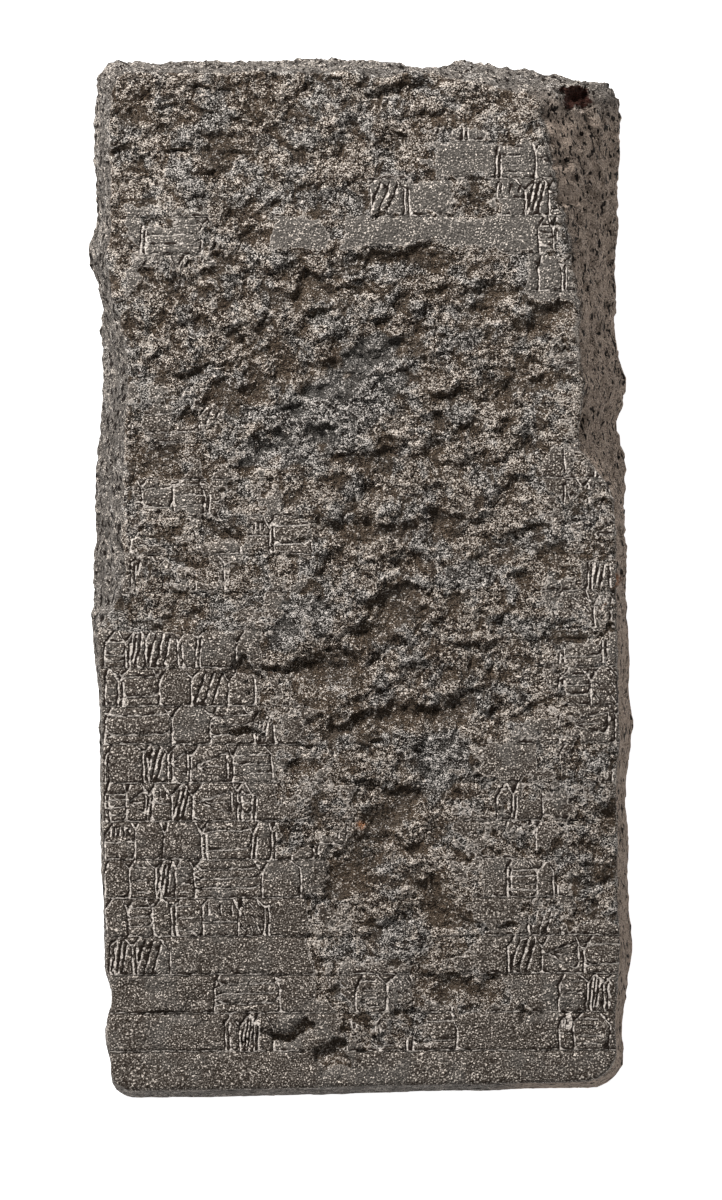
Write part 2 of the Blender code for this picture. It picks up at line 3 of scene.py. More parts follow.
import bpy
import numpy as np
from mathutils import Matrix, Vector


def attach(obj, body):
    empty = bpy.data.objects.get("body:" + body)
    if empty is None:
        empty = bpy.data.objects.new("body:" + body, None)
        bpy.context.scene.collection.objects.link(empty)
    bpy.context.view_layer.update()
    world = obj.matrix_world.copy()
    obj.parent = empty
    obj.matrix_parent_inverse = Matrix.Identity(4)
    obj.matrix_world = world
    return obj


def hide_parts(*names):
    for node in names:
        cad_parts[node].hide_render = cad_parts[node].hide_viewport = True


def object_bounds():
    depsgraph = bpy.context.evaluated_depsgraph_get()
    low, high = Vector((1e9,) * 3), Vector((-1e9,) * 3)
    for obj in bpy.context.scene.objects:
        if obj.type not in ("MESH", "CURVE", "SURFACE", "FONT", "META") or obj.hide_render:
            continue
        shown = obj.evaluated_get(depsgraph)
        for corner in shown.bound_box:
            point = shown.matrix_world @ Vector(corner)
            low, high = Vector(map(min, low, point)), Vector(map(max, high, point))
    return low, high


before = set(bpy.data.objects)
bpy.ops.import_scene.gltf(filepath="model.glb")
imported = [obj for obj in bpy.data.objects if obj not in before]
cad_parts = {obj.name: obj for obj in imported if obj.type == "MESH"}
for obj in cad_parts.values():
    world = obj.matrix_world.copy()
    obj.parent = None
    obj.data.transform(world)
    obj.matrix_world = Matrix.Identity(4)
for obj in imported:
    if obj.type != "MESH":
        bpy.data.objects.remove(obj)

cad_low, cad_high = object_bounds()


# The lead slab
# Lead was poured into an open oblong bed and set as one thick block. Its face was ruled and
# inscribed with a chisel, and later corrosion ate its face, its sides and one corner.
BUMPS_ACROSS = 0.0200   # what the bumps of both sides add to the width
BUMPS_ALONG = 0.0043    # and to the length
WIDTH = cad_high[0] - cad_low[0] - BUMPS_ACROSS
LENGTH = cad_high[1] - cad_low[1] - BUMPS_ALONG
THICKNESS = 0.118
LEAN = 0.0075           # the head stands this far left of the foot
HEAD_FALL = 0.016       # the head edge drops this far towards its right corner
FOOT_RISE = 0.006       # the foot edge rises this far towards its right corner
HEAD_LEFT_RADIUS = 0.019
HEAD_RIGHT_RADIUS = 0.010
FOOT_LEFT_RADIUS = 0.019
FOOT_RIGHT_RADIUS = 0.025
RIM_RADIUS = 0.0025     # rounding of the inscribed face's rim
FOOT_UNDERCUT = 0.005   # how far the sides tuck in where the slab meets the ground
BELLY = 0.30            # height of the widest line round the sides, as a share of the thickness

# How far the inscribed face stops short of the widest line, where the sides slope outwards
SLOPE_LEFT = 0.002
SLOPE_RIGHT = 0.007
SLOPE_HEAD = 0.010
SLOPE_FOOT = 0.007
LEFT_BREAK = 0.017      # further slope at the broken stretch of the left side
RIGHT_BREAK = 0.021     # further slope along the upper part of the right side
CORNER_BREAK = 0.026    # and again towards the head's right corner
LEFT_BROKEN = (0.44, 0.50, 0.72, 0.80)   # where the left break starts, is whole, and ends
RIGHT_BROKEN = (0.585, 0.645)            # where the right one starts and is whole
CORNER_BROKEN = (0.78, 1.0)
HEAD_FALLS = (0.68, 1.05)                # where the head edge drops, across the slab

# Bumps (+) and bites (-) of the sides: (place along the side as a share, reach, push outwards)
LEFT_KNOCKS = [
    (0.821, 0.016, 0.006), (0.714, 0.038, -0.004), (0.540, 0.060, 0.003), (0.447, 0.034, 0.006),
    (0.280, 0.080, 0.002), (0.088, 0.014, -0.007), (0.020, 0.012, -0.004),
]
RIGHT_KNOCKS = [
    (0.940, 0.060, 0.003), (0.820, 0.030, -0.003), (0.755, 0.012, -0.003), (0.704, 0.012, 0.004),
    (0.655, 0.012, -0.005), (0.400, 0.220, 0.006), (0.349, 0.016, 0.002), (0.286, 0.020, -0.003),
    (0.130, 0.024, 0.003), (0.045, 0.025, -0.003),
]
HEAD_KNOCKS = [(0.40, 0.030, 0.001), (0.64, 0.018, -0.006), (0.71, 0.008, 0.002)]
FOOT_KNOCKS = [(0.25, 0.120, 0.002), (0.74, 0.012, 0.001)]
FACE_SHARE = 0.55       # how much of each knock reaches the inscribed face's rim
GROUND_SHARE = 0.70     # and how much reaches the ground


def smooth(low, high, value):
    """0 below low, 1 above high, with an S curve between."""
    share = np.clip((value - low) / (high - low), 0.0, 1.0)
    return share * share * (3.0 - 2.0 * share)


def sheet_noise(x, y, size, seed):
    """Gradient noise over a plane, about -1 to 1, with one lump to each size: every corner of a
    square lattice has a random slope, and the slopes of the four corners round a point are
    blended with a curve that is flat at both ends."""
    draw = np.random.default_rng(seed)
    order = draw.permutation(256)
    turn = draw.uniform(0, 2 * math.pi, 256)
    column, row = np.floor(x / size), np.floor(y / size)
    right, up = x / size - column, y / size - row
    column, row = column.astype(int), row.astype(int)
    fade_right = right ** 3 * (right * (right * 6 - 15) + 10)
    fade_up = up ** 3 * (up * (up * 6 - 15) + 10)
    total = np.zeros_like(right)
    for i, across in enumerate((1 - fade_right, fade_right)):
        for j, along in enumerate((1 - fade_up, fade_up)):
            key = turn[order[(order[(column + i) & 255] + row + j) & 255]]
            total += across * along * (np.cos(key) * (right - i) + np.sin(key) * (up - j))
    return 1.4 * total


def lump_noise(x, y, z, size, seed):
    """The same in space, blended from the eight corners of a cube."""
    draw = np.random.default_rng(seed)
    order = draw.permutation(256)
    slopes = draw.normal(size=(256, 3))
    slopes /= np.linalg.norm(slopes, axis=1)[:, None]
    spots = np.stack([x, y, z], axis=-1) / size
    base = np.floor(spots).astype(int)
    inside = spots - base
    fade = inside ** 3 * (inside * (inside * 6 - 15) + 10)
    total = np.zeros(len(spots))
    for corner in np.ndindex(2, 2, 2):
        cell = (base + corner) & 255
        key = order[(order[(order[cell[:, 0]] + cell[:, 1]) & 255] + cell[:, 2]) & 255]
        lift = (slopes[key] * (inside - corner)).sum(axis=1)
        weight = np.where(np.array(corner) == 1, fade, 1 - fade).prod(axis=1)
        total += weight * lift
    return total * 1.5


def knocked(share, side_length, knocks):
    """The sum of the bumps and bites along a side, each a bell curve."""
    push = np.zeros_like(share)
    for place, reach, height in knocks:
        push += height * np.exp(-(((share - place) * side_length / reach) ** 2))
    return push


def corner_inset(share, side_length, first_radius, last_radius):
    """How far a side draws in near its two ends, so that the corners are arcs of a circle."""
    radius = np.where(share < 0.5, first_radius, last_radius)
    ends = np.minimum(share, 1 - share) * side_length
    short = np.clip(radius * math.sqrt(0.5) - ends, 0, None)
    return radius - np.sqrt(radius ** 2 - short ** 2)


def outline_point(u, v, knock_share):
    """The outline's plan at share u across and v up: opposite sides joined by straight lines."""
    lean = LEAN * (0.5 - v)
    left = lean - WIDTH / 2 - knock_share * knocked(v, LENGTH, LEFT_KNOCKS)
    left += corner_inset(v, LENGTH, FOOT_LEFT_RADIUS, HEAD_LEFT_RADIUS)
    right = lean + WIDTH / 2 + knock_share * knocked(v, LENGTH, RIGHT_KNOCKS)
    right -= corner_inset(v, LENGTH, FOOT_RIGHT_RADIUS, HEAD_RIGHT_RADIUS)
    head = LENGTH / 2 - HEAD_FALL * smooth(*HEAD_FALLS, u)
    head += knock_share * knocked(u, WIDTH, HEAD_KNOCKS)
    head -= corner_inset(u, WIDTH, HEAD_LEFT_RADIUS, HEAD_RIGHT_RADIUS)
    foot = -LENGTH / 2 + FOOT_RISE * u - knock_share * knocked(u, WIDTH, FOOT_KNOCKS)
    foot += corner_inset(u, WIDTH, FOOT_LEFT_RADIUS, FOOT_RIGHT_RADIUS)
    return left + u * (right - left), foot + v * (head - foot)


def face_point(u, v):
    """The inscribed face's plan: the outline drawn in by the width of each sloping side."""
    x, y = outline_point(u, v, FACE_SHARE)
    starts, whole, ending, ended = LEFT_BROKEN
    left = SLOPE_LEFT + LEFT_BREAK * smooth(starts, whole, v) * smooth(ended, ending, v)
    left = left + 0.5 * LEFT_BREAK * smooth(ending, ended, v)
    right = SLOPE_RIGHT + RIGHT_BREAK * smooth(*RIGHT_BROKEN, v)
    right = right + CORNER_BREAK * smooth(*CORNER_BROKEN, v)
    return x + left * (1 - u) - right * u, y + SLOPE_FOOT * (1 - v) - SLOPE_HEAD * v


# The ruled lines and the signs between them
# The rows were ruled first, from edge to edge, and signs made of cut strokes stand between the
# lines. Here the strokes are made up, in the same rows, and they spell nothing.
ROWS = 26
LINE_PITCH = 0.0266
HEAD_PITCH = 0.0260     # the rows are ruled a little closer above the twelfth
FOOT_MARGIN = 0.0335    # from the foot edge to the first line
LINE_TILT = 0.004       # how much a line falls to the left, as a slope
LINE_WIDTH = 0.0017
LINE_DEPTH = 0.0012
STROKE_WIDTH = 0.0015
STROKE_DEPTH = 0.0012
FORK = 0.0042           # how far a sign's forked head reaches to each side
UPRIGHT_PAIR = 0.0030   # how far apart a pair of uprights stands
CELL_WIDTHS = (0.009, 0.028)
SIGN_SEED = 31
HAND_WANDER = 0.0009    # how far a cut strays from its line, and over what distance
HAND_WAVE = 0.010

# The stretches of each row that hold signs: row from the foot, then pairs of shares across
SIGN_STRETCHES = {
    1: [(0.24, 0.30), (0.47, 0.53), (0.60, 0.66), (0.88, 0.96)],
    2: [(0.22, 0.33), (0.49, 0.61), (0.88, 0.97)],
    3: [(0.02, 0.12), (0.78, 0.96)],
    4: [(0.01, 0.28), (0.82, 0.88)],
    5: [(0.01, 0.38), (0.78, 0.86)],
    6: [(0.01, 0.43), (0.77, 0.88)],
    7: [(0.01, 0.28), (0.76, 0.84)],
    8: [(0.01, 0.27), (0.88, 0.99)],
    9: [(0.01, 0.30), (0.88, 0.99)],
    10: [(0.01, 0.26), (0.88, 0.99)],
    11: [(0.01, 0.28), (0.88, 0.99)],
    12: [(0.87, 0.99)],
    13: [(0.06, 0.19), (0.88, 0.99)],
    14: [(0.06, 0.14), (0.27, 0.37), (0.89, 0.99)],
    15: [(0.05, 0.20), (0.89, 0.98)],
    16: [(0.07, 0.15), (0.89, 0.97)],
    17: [(0.06, 0.22), (0.88, 0.95)],
    18: [(0.15, 0.23)],
    21: [(0.08, 0.19), (0.84, 0.93)],
    22: [(0.08, 0.20), (0.84, 0.92)],
    23: [(0.46, 0.54), (0.76, 0.90)],
    24: [(0.76, 0.90)],
    25: [(0.64, 0.68)],
}


def row_height(row):
    """Height of the ruled line under a row, from the slab's middle."""
    lower = np.minimum(row - 1, 11) * LINE_PITCH
    upper = np.maximum(row - 12, 0) * HEAD_PITCH
    return -LENGTH / 2 + FOOT_MARGIN + lower + upper


def plain_cell(draw):
    """A cell left empty."""
    return []


def barred_cell(draw):
    """Level bars from one side of the cell to the other."""
    levels = np.linspace(0.0, draw.uniform(0.66, 0.86), draw.integers(3, 5) + 1)[1:]
    return [(0, level, 1, level + draw.uniform(-0.04, 0.04)) for level in levels]


def spindle_cell(draw):
    """Long level bars, each a pair of lines that part at both ends."""
    strokes = []
    for level in np.linspace(0.24, 0.74, draw.integers(2, 4)):
        strokes += [(0.12, level, 0.88, level + 0.03), (0.12, level, 0.0, level - 0.09)]
        strokes += [(0.12, level, 0.0, level + 0.10), (0.88, level + 0.03, 1.0, level + 0.13)]
    return strokes


def dart_cell(draw):
    """A long closed point with a line along its middle, clear of the uprights."""
    middle, spread = draw.uniform(0.40, 0.52), draw.uniform(0.28, 0.38)
    return [(0.12, middle, 0.86, middle + spread), (0.30, middle, 0.70, middle),
            (0.12, middle, 0.86, middle - spread), (0.86, middle + spread, 0.86, middle - spread)]


def dashed_cell(draw):
    """Short level dashes, one above another, that touch neither side."""
    levels = np.linspace(0.15, 0.80, draw.integers(3, 5))
    return [(0.22, level, draw.uniform(0.60, 0.80), level) for level in levels]


def notched_cell(draw):
    """Short upright marks side by side over a bar, clear of it."""
    level = draw.uniform(0.38, 0.50)
    shares = np.linspace(0.18, 0.82, draw.integers(3, 6))
    return [(0, level, 1, level)] + [(share, level + 0.14, share, 0.84) for share in shares]


def stacked_cell(draw):
    """Short slanting marks in rows, one row above another."""
    shares = np.linspace(0.20, 0.80, draw.integers(2, 4))
    return [
        (share - 0.08, level + 0.09, share + 0.09, level - 0.07)
        for level in (0.18, 0.48, 0.78) for share in shares
    ]


def slanted_cell(draw):
    """Long slanting marks side by side."""
    lean = draw.uniform(0.20, 0.34)
    return [(share, 0.10, share + lean, 0.88) for share in np.linspace(0.12, 0.58, 3)]


def forked_upright(x, low, high, sides, draw):
    """The upright between two cells, one line or two side by side: its head forks to the given
    sides, up to the line above."""
    fork = low + draw.uniform(0.58, 0.80) * (high - low)
    reach = FORK * draw.uniform(0.7, 2.0)
    foot = x + draw.uniform(-0.3, 0.3) * UPRIGHT_PAIR
    strokes = [(foot, low, x, fork)] + [(x, fork, x + side * reach, high) for side in sides]
    if draw.random() < 0.35:
        strokes.append((foot + UPRIGHT_PAIR, low, x + UPRIGHT_PAIR, fork))
    return strokes


def sign_strokes():
    """Made-up signs along the stretches of each row, as a chain of cells between uprights: the
    strokes are (x, y, x, y) of their ends."""
    draw = np.random.default_rng(SIGN_SEED)
    shapes = [plain_cell, barred_cell, plain_cell, dart_cell, spindle_cell, plain_cell,
              dashed_cell, notched_cell, stacked_cell, slanted_cell]
    wider = {dart_cell: 1.4, spindle_cell: 1.8}
    strokes = []
    for row, stretches in SIGN_STRETCHES.items():
        tilt = LINE_TILT * np.array([start - 0.5 for start, end in stretches]) * WIDTH
        for (start, end), lift in zip(stretches, tilt):
            low, high = row_height(row) + lift, row_height(row + 1) + lift
            x, last = (start - 0.5) * WIDTH, (end - 0.5) * WIDTH
            sides = [1]
            while x < last:
                shape = shapes[draw.integers(len(shapes))]
                width = draw.uniform(*CELL_WIDTHS) * wider.get(shape, 1.0)
                strokes += forked_upright(x, low, high, sides, draw)
                tall = high - low
                strokes += [
                    (x + x0 * width, low + y0 * tall, x + x1 * width, low + y1 * tall)
                    for x0, y0, x1, y1 in shape(draw)
                ]
                x, sides = x + width, [-1, 1]
            strokes += forked_upright(x, low, high, [-1], draw)
    return strokes


def hand_wander(x, y):
    """The point moved by a little noise, so that a straight cut comes out as a hand cuts it."""
    stray_x = HAND_WANDER * sheet_noise(x, y, HAND_WAVE, 61)
    stray_y = HAND_WANDER * sheet_noise(x, y, HAND_WAVE, 62)
    return x + stray_x, y + stray_y


def stroke_distance(x, y):
    """Distance to the middle of the nearest stroke, at most one row's height."""
    nearest = np.full_like(x, LINE_PITCH)
    for x0, y0, x1, y1 in sign_strokes():
        near = np.flatnonzero(
            (x > min(x0, x1) - STROKE_WIDTH) & (x < max(x0, x1) + STROKE_WIDTH)
            & (y > min(y0, y1) - STROKE_WIDTH) & (y < max(y0, y1) + STROKE_WIDTH)
        )
        dx, dy = x1 - x0, y1 - y0
        share = ((x[near] - x0) * dx + (y[near] - y0) * dy) / (dx * dx + dy * dy)
        share = np.clip(share, 0, 1)
        away = np.hypot(x[near] - x0 - share * dx, y[near] - y0 - share * dy)
        nearest[near] = np.minimum(nearest[near], away)
    return nearest


def line_distance(x, y):
    """Distance to the middle of the nearest ruled line."""
    heights = row_height(np.arange(1, ROWS + 1))
    level = y - LINE_TILT * x
    above = np.clip(np.searchsorted(heights, level), 1, ROWS - 1)
    return np.minimum(np.abs(level - heights[above - 1]), np.abs(heights[above] - level))


def cut_distance(x, y, shift=(0, 0), line_extra=0):
    """Distance to the middle of the nearest cut, moved by a shift, as a hand cuts it. A ruled line
    may count as further off than it is."""
    hand_x, hand_y = hand_wander(x, y)
    hand_x, hand_y = hand_x - shift[0], hand_y - shift[1]
    return np.minimum(line_distance(hand_x, hand_y) + line_extra, stroke_distance(hand_x, hand_y))


def groove(away, width):
    """Share of a groove's depth at a distance from its middle: a cosine trough."""
    return 0.5 + 0.5 * np.cos(np.pi * np.clip(2 * away / width, 0, 1))


# The surviving skin, the hollows and the corroded ground
# The skin is the cast face itself, and it keeps the cuts. Between its patches the lead has turned
# to a crumbling crust in slanting ridges, with deeper hollows eaten into it.
# Patches of skin, as shares of the width and the length: (left, right, low, high)
KEPT_SKIN = [
    (0.64, 0.87, 0.882, 0.916), (0.52, 0.68, 0.848, 0.880), (0.47, 0.80, 0.816, 0.847),
    (0.33, 0.43, 0.816, 0.848), (0.77, 0.89, 0.813, 0.895), (0.82, 0.91, 0.760, 0.813),
    (0.07, 0.20, 0.803, 0.838), (0.08, 0.13, 0.625, 0.662), (0.06, 0.20, 0.560, 0.595),
    (0.27, 0.37, 0.524, 0.561), (0.00, 0.31, 0.320, 0.450), (0.00, 0.34, 0.000, 0.360),
    (0.00, 0.45, 0.190, 0.233), (0.00, 0.41, 0.000, 0.225), (0.00, 0.47, 0.000, 0.094),
    (0.00, 1.00, 0.000, 0.054), (0.90, 1.00, 0.585, 0.600),
    (0.92, 1.00, 0.487, 0.515), (0.88, 1.00, 0.416, 0.440), (0.89, 1.00, 0.375, 0.416),
    (0.92, 1.00, 0.338, 0.377), (0.73, 0.84, 0.310, 0.343), (0.76, 0.81, 0.286, 0.315),
    (0.78, 0.85, 0.266, 0.288), (0.83, 0.87, 0.236, 0.268), (0.73, 0.88, 0.195, 0.233),
    (0.71, 0.81, 0.166, 0.197), (0.72, 0.80, 0.110, 0.165), (0.79, 1.00, 0.000, 0.166),
    (0.64, 1.00, 0.000, 0.088), (0.46, 0.60, 0.094, 0.128),
]
# Patches where only islands of the skin are left, with traces of the signs between them
WORN_SKIN = [
    (0.05, 0.26, 0.487, 0.680), (0.06, 0.22, 0.760, 0.850), (0.86, 1.00, 0.290, 0.640),
    (0.86, 0.97, 0.640, 0.860), (0.62, 0.92, 0.840, 0.925), (0.26, 0.40, 0.440, 0.600),
    (0.30, 0.48, 0.160, 0.400), (0.68, 0.90, 0.090, 0.360), (0.44, 0.66, 0.050, 0.130),
]
SKIN_EDGE = 0.0016      # width of the step from the skin to the ground
SKIN_WANDER = 0.0110    # how far the skin's border wanders
WORN_SKIN_SHORT = 0.0008   # how far inside its border the worn skin would have to lie to survive
SKIN_DENT = 0.0007      # how much the skin itself rises and falls

# The larger corroded hollows: (share across, share up, length, width, turn in degrees, depth)
HOLLOWS = [
    (0.24, 0.909, 0.042, 0.018, 5, 0.006), (0.29, 0.850, 0.035, 0.013, -10, 0.004),
    (0.22, 0.798, 0.031, 0.015, 30, 0.005), (0.13, 0.775, 0.042, 0.014, 10, 0.004),
    (0.40, 0.775, 0.052, 0.017, 25, 0.007), (0.52, 0.802, 0.049, 0.011, 10, 0.005),
    (0.64, 0.805, 0.042, 0.013, 0, 0.005), (0.75, 0.767, 0.042, 0.018, 35, 0.006),
    (0.47, 0.700, 0.052, 0.028, 32, 0.010), (0.31, 0.721, 0.024, 0.015, 10, 0.006),
    (0.26, 0.677, 0.043, 0.020, 10, 0.007), (0.16, 0.652, 0.017, 0.011, 0, 0.005),
    (0.10, 0.612, 0.028, 0.035, 80, 0.005), (0.80, 0.684, 0.049, 0.021, 10, 0.007),
    (0.85, 0.748, 0.042, 0.017, 30, 0.007), (0.58, 0.722, 0.028, 0.017, 20, 0.005),
    (0.53, 0.614, 0.031, 0.021, 20, 0.005), (0.64, 0.619, 0.025, 0.015, 10, 0.005),
    (0.43, 0.633, 0.028, 0.014, 20, 0.005), (0.53, 0.545, 0.063, 0.015, 0, 0.006),
    (0.67, 0.550, 0.035, 0.014, 10, 0.004), (0.24, 0.543, 0.028, 0.014, 10, 0.004),
    (0.56, 0.466, 0.046, 0.028, 50, 0.009), (0.44, 0.403, 0.049, 0.035, 10, 0.011),
    (0.26, 0.408, 0.046, 0.013, 0, 0.006), (0.53, 0.361, 0.077, 0.017, 10, 0.009),
    (0.26, 0.351, 0.032, 0.013, 0, 0.006), (0.67, 0.372, 0.035, 0.018, 20, 0.006),
    (0.55, 0.265, 0.077, 0.021, 38, 0.007), (0.39, 0.319, 0.028, 0.014, 20, 0.004),
    (0.48, 0.214, 0.056, 0.020, 25, 0.006), (0.63, 0.195, 0.042, 0.017, -30, 0.006),
    (0.67, 0.173, 0.035, 0.015, -10, 0.006), (0.68, 0.107, 0.049, 0.018, 0, 0.006),
    (0.35, 0.059, 0.042, 0.017, 10, 0.009), (0.44, 0.040, 0.039, 0.018, -10, 0.008),
    (0.10, 0.108, 0.031, 0.018, 15, 0.006), (0.16, 0.084, 0.039, 0.015, 25, 0.006),
    (0.89, 0.866, 0.014, 0.021, 90, 0.004), (0.13, 0.456, 0.056, 0.011, 5, 0.004),
    (0.86, 0.523, 0.031, 0.017, 10, 0.004), (0.96, 0.219, 0.035, 0.015, 0, 0.005),
    (0.31, 0.951, 0.035, 0.015, 0, 0.004), (0.06, 0.947, 0.025, 0.018, 0, 0.005),
    (0.82, 0.075, 0.009, 0.007, 60, 0.005),
]
HOLLOW_REACH = 0.66     # half axes of a hollow, as shares of its length and width
HOLLOW_SINK = 0.60      # and how much of its depth a smooth bowl takes; crust hangs over the rest
HOLLOW_WANDER = 0.011   # how far a hollow's rim wanders, and over what distance
HOLLOW_WAVE = 0.015
HOLLOW_RAGGED = 0.005   # size of the rim's smaller ins and outs
HOLLOW_ON_SKIN = 0.40   # how much shallower a hollow is where the skin survives over it
HOLLOW_BREAKS = 6.0     # how far a hollow breaks the skin away round it, as a multiple of its depth
BROKEN_SHORT = 0.0030   # and how far outside the skin's border the broken ground counts as, at most

# Patches where the crust is firmer and bluish grey: across, up, length, width, turn
FIRM_CRUST = [
    (0.440, 0.661, 0.105, 0.046, 35), (0.385, 0.459, 0.050, 0.034, 10),
    (0.655, 0.322, 0.046, 0.034, 20), (0.520, 0.715, 0.040, 0.024, 20),
    (0.700, 0.500, 0.040, 0.018, 10), (0.300, 0.620, 0.040, 0.016, 10),
]
FIRM_REACH = 0.60       # their half axes, as shares of the length and width
CORNER_HOLE = (0.916, 0.964, 0.012, 0.010)   # in the broken corner: across, up, radius, depth
HOLE_INWARD = (-0.4, -0.3, -0.87)            # which way it runs into the slab
HOLE_FLOOR = (0.3, 0.5)                      # it fades out between these shares of the height

GROUND_DEEP = 0.0034    # mean depth of the ground far from the skin
GROUND_NEAR = 0.0008    # and where it starts, at the skin's border
GROUND_FALL = 0.016     # distance from the border to the full depth
GROUND_LEAST = 0.0004   # no crest stands higher than this far below the skin
DEEP_BOWL = 0.006       # a hollow as deep as this has only half of the ground's relief in it
RIDGES = [              # turn in degrees, length, spacing, height
    (6, 0.034, 0.013, 0.0027), (36, 0.040, 0.017, 0.0029),
]
RIDGE_LEAN = 1.2        # how far the crests lean towards the foot, for each unit of their height
BROAD_HEIGHT = 0.0014
BROAD_SIZE = 0.050
LUMP_HEIGHT = 0.0021
LUMP_SIZE = 0.0120
CLOD_HEIGHT = 0.0016    # small round lumps with sharp creases between them
CLOD_SIZE = 0.0064
GRIT_HEIGHT = 0.0009
GRIT_SIZE = 0.0036
CRUST_STRAY = 0.0040    # how far the crust's lumps are pushed about, and over what distance
CRUST_WAVE = 0.0130


def depth_inside(place, low, high, size):
    """Distance inside a stretch given in shares; an end at the slab's own edge doesn't count."""
    from_low = place - (low - 0.5) * size if low > 0 else np.full_like(place, size)
    from_high = (high - 0.5) * size - place if high < 1 else np.full_like(place, size)
    return np.minimum(from_low, from_high)


def skin_depth(x, y):
    """Distance inside the surviving skin's border, negative outside: the depth inside the nearest
    patch, or inside worn skin never more than a little short of the border, moved by noise. Where
    a hollow lies in the skin, the border runs round it."""
    wander = 0.50 * sheet_noise(x, y, 0.030, 11) + 0.35 * sheet_noise(x, y, 0.011, 12)
    wander += 0.26 * sheet_noise(x, y, 0.0055, 13) + 0.14 * sheet_noise(x, y, 0.0028, 14)
    inside = np.full_like(x, -LENGTH)
    for patches, most in ((KEPT_SKIN, LENGTH), (WORN_SKIN, -WORN_SKIN_SHORT)):
        for left, right, low, high in patches:
            depth = np.minimum(
                depth_inside(x, left, right, WIDTH), depth_inside(y, low, high, LENGTH)
            )
            inside = np.maximum(inside, np.minimum(depth, most))
    inside = inside + SKIN_WANDER * wander
    broken = inside - HOLLOW_BREAKS * hollow_depth(x, y)
    return np.maximum(broken, np.minimum(inside, -BROKEN_SHORT))


def turned(x, y, turn):
    """The place along and beside a direction, given in degrees from the slab's width."""
    c, s = math.cos(math.radians(turn)), math.sin(math.radians(turn))
    return x * c + y * s, y * c - x * s


def hollow_depth(x, y):
    """Depth of the hollows: bowls that start gently, each an ellipse with a wandering rim."""
    deep = np.zeros_like(x)
    stray_x, stray_y = (
        sheet_noise(x, y, HOLLOW_WAVE, seed) + 0.4 * sheet_noise(x, y, HOLLOW_RAGGED, seed + 2)
        for seed in (51, 52)
    )
    for across, up, length, width, turn, depth in HOLLOWS:
        dx = x + HOLLOW_WANDER * stray_x - (across - 0.5) * WIDTH
        dy = y + HOLLOW_WANDER * stray_y - (up - 0.5) * LENGTH
        along, beside = turned(dx, dy, turn)
        along, beside = along / (length * HOLLOW_REACH), beside / (width * HOLLOW_REACH)
        bowl = np.clip(1 - along ** 2 - beside ** 2, 0, 1)
        deep = np.maximum(deep, HOLLOW_SINK * depth * bowl)
    return deep


def firm_share(x, y):
    """1 in the middle of a firmer patch of crust, 0 outside: ellipses with wandering rims."""
    firm = np.zeros_like(x)
    stray = 0.5 * sheet_noise(x, y, 0.024, 55) + 0.5 * sheet_noise(x, y, 0.008, 56)
    for across, up, length, width, turn in FIRM_CRUST:
        along, beside = turned(x - (across - 0.5) * WIDTH, y - (up - 0.5) * LENGTH, turn)
        along, beside = along / (length * FIRM_REACH), beside / (width * FIRM_REACH)
        firm = np.maximum(firm, 1 - (along ** 2 + beside ** 2) - stray)
    return np.clip(firm, 0, 1)


def crust_rise(x, y):
    """Rise of the corroded ground above its mean: slanting ridges, lumps, clods and grit, all
    pushed about by noise. The heights are taken a little further up the slab, by a share of the
    ridges and lumps there, so that each crest leans over its lower side. Returns the rise, and
    the part of it without the ridges."""
    x, y = (
        x + CRUST_STRAY * sheet_noise(x, y, CRUST_WAVE, 23),
        y + CRUST_STRAY * sheet_noise(x, y, CRUST_WAVE, 24),
    )
    for lean in (RIDGE_LEAN, RIDGE_LEAN, 0):
        ridges = np.zeros_like(x)
        for turn, length, spacing, height in RIDGES:
            along, beside = turned(x, y, turn)
            ridges += height * sheet_noise(along / length, beside / spacing, 1.0, 28 + turn)
        lumps = LUMP_HEIGHT * sheet_noise(x, y, LUMP_SIZE, 22)
        y = y + 0.5 * lean * (ridges + lumps)
    ridges += BROAD_HEIGHT * sheet_noise(x, y, BROAD_SIZE, 25)
    lumps += CLOD_HEIGHT * (2 * np.abs(sheet_noise(x, y, CLOD_SIZE, 26)) - 0.5)
    lumps += GRIT_HEIGHT * sheet_noise(x, y, GRIT_SIZE, 27)
    return ridges + lumps, lumps


def face_relief(x, y):
    """How far each point of the face lies below the plane it was cast to."""
    inside = skin_depth(x, y)
    kept = smooth(-SKIN_EDGE / 2, SKIN_EDGE / 2, inside)
    far = smooth(0, GROUND_FALL, -inside)
    rise, lumps = crust_rise(x, y)
    bowls = hollow_depth(x, y)
    calm = 1 - 0.5 * np.clip(bowls / DEEP_BOWL, 0, 1)
    ground = GROUND_NEAR + (GROUND_DEEP - GROUND_NEAR) * far - calm * (0.4 + 0.6 * far) * rise
    hand_x, hand_y = hand_wander(x, y)
    lines = LINE_DEPTH * groove(line_distance(hand_x, hand_y), LINE_WIDTH)
    strokes = STROKE_DEPTH * groove(stroke_distance(hand_x, hand_y), STROKE_WIDTH)
    cuts = np.maximum(lines, strokes)
    dents = SKIN_DENT * (sheet_noise(x, y, 0.034, 15) + 0.5 * sheet_noise(x, y, 0.009, 16))
    skin = cuts + dents + bowls * (1 - HOLLOW_ON_SKIN)
    worn = np.maximum(ground, GROUND_LEAST) + bowls + cuts * (1 - far) * 0.8
    return worn + (skin - worn) * kept


def rim_drop(u, v):
    """Rounding of the face's rim: a quarter circle across the last few millimetres."""
    near = np.minimum(np.minimum(u, 1 - u) * WIDTH, np.minimum(v, 1 - v) * LENGTH)
    short = np.clip(RIM_RADIUS - near, 0, None)
    return RIM_RADIUS - np.sqrt(RIM_RADIUS ** 2 - short ** 2)


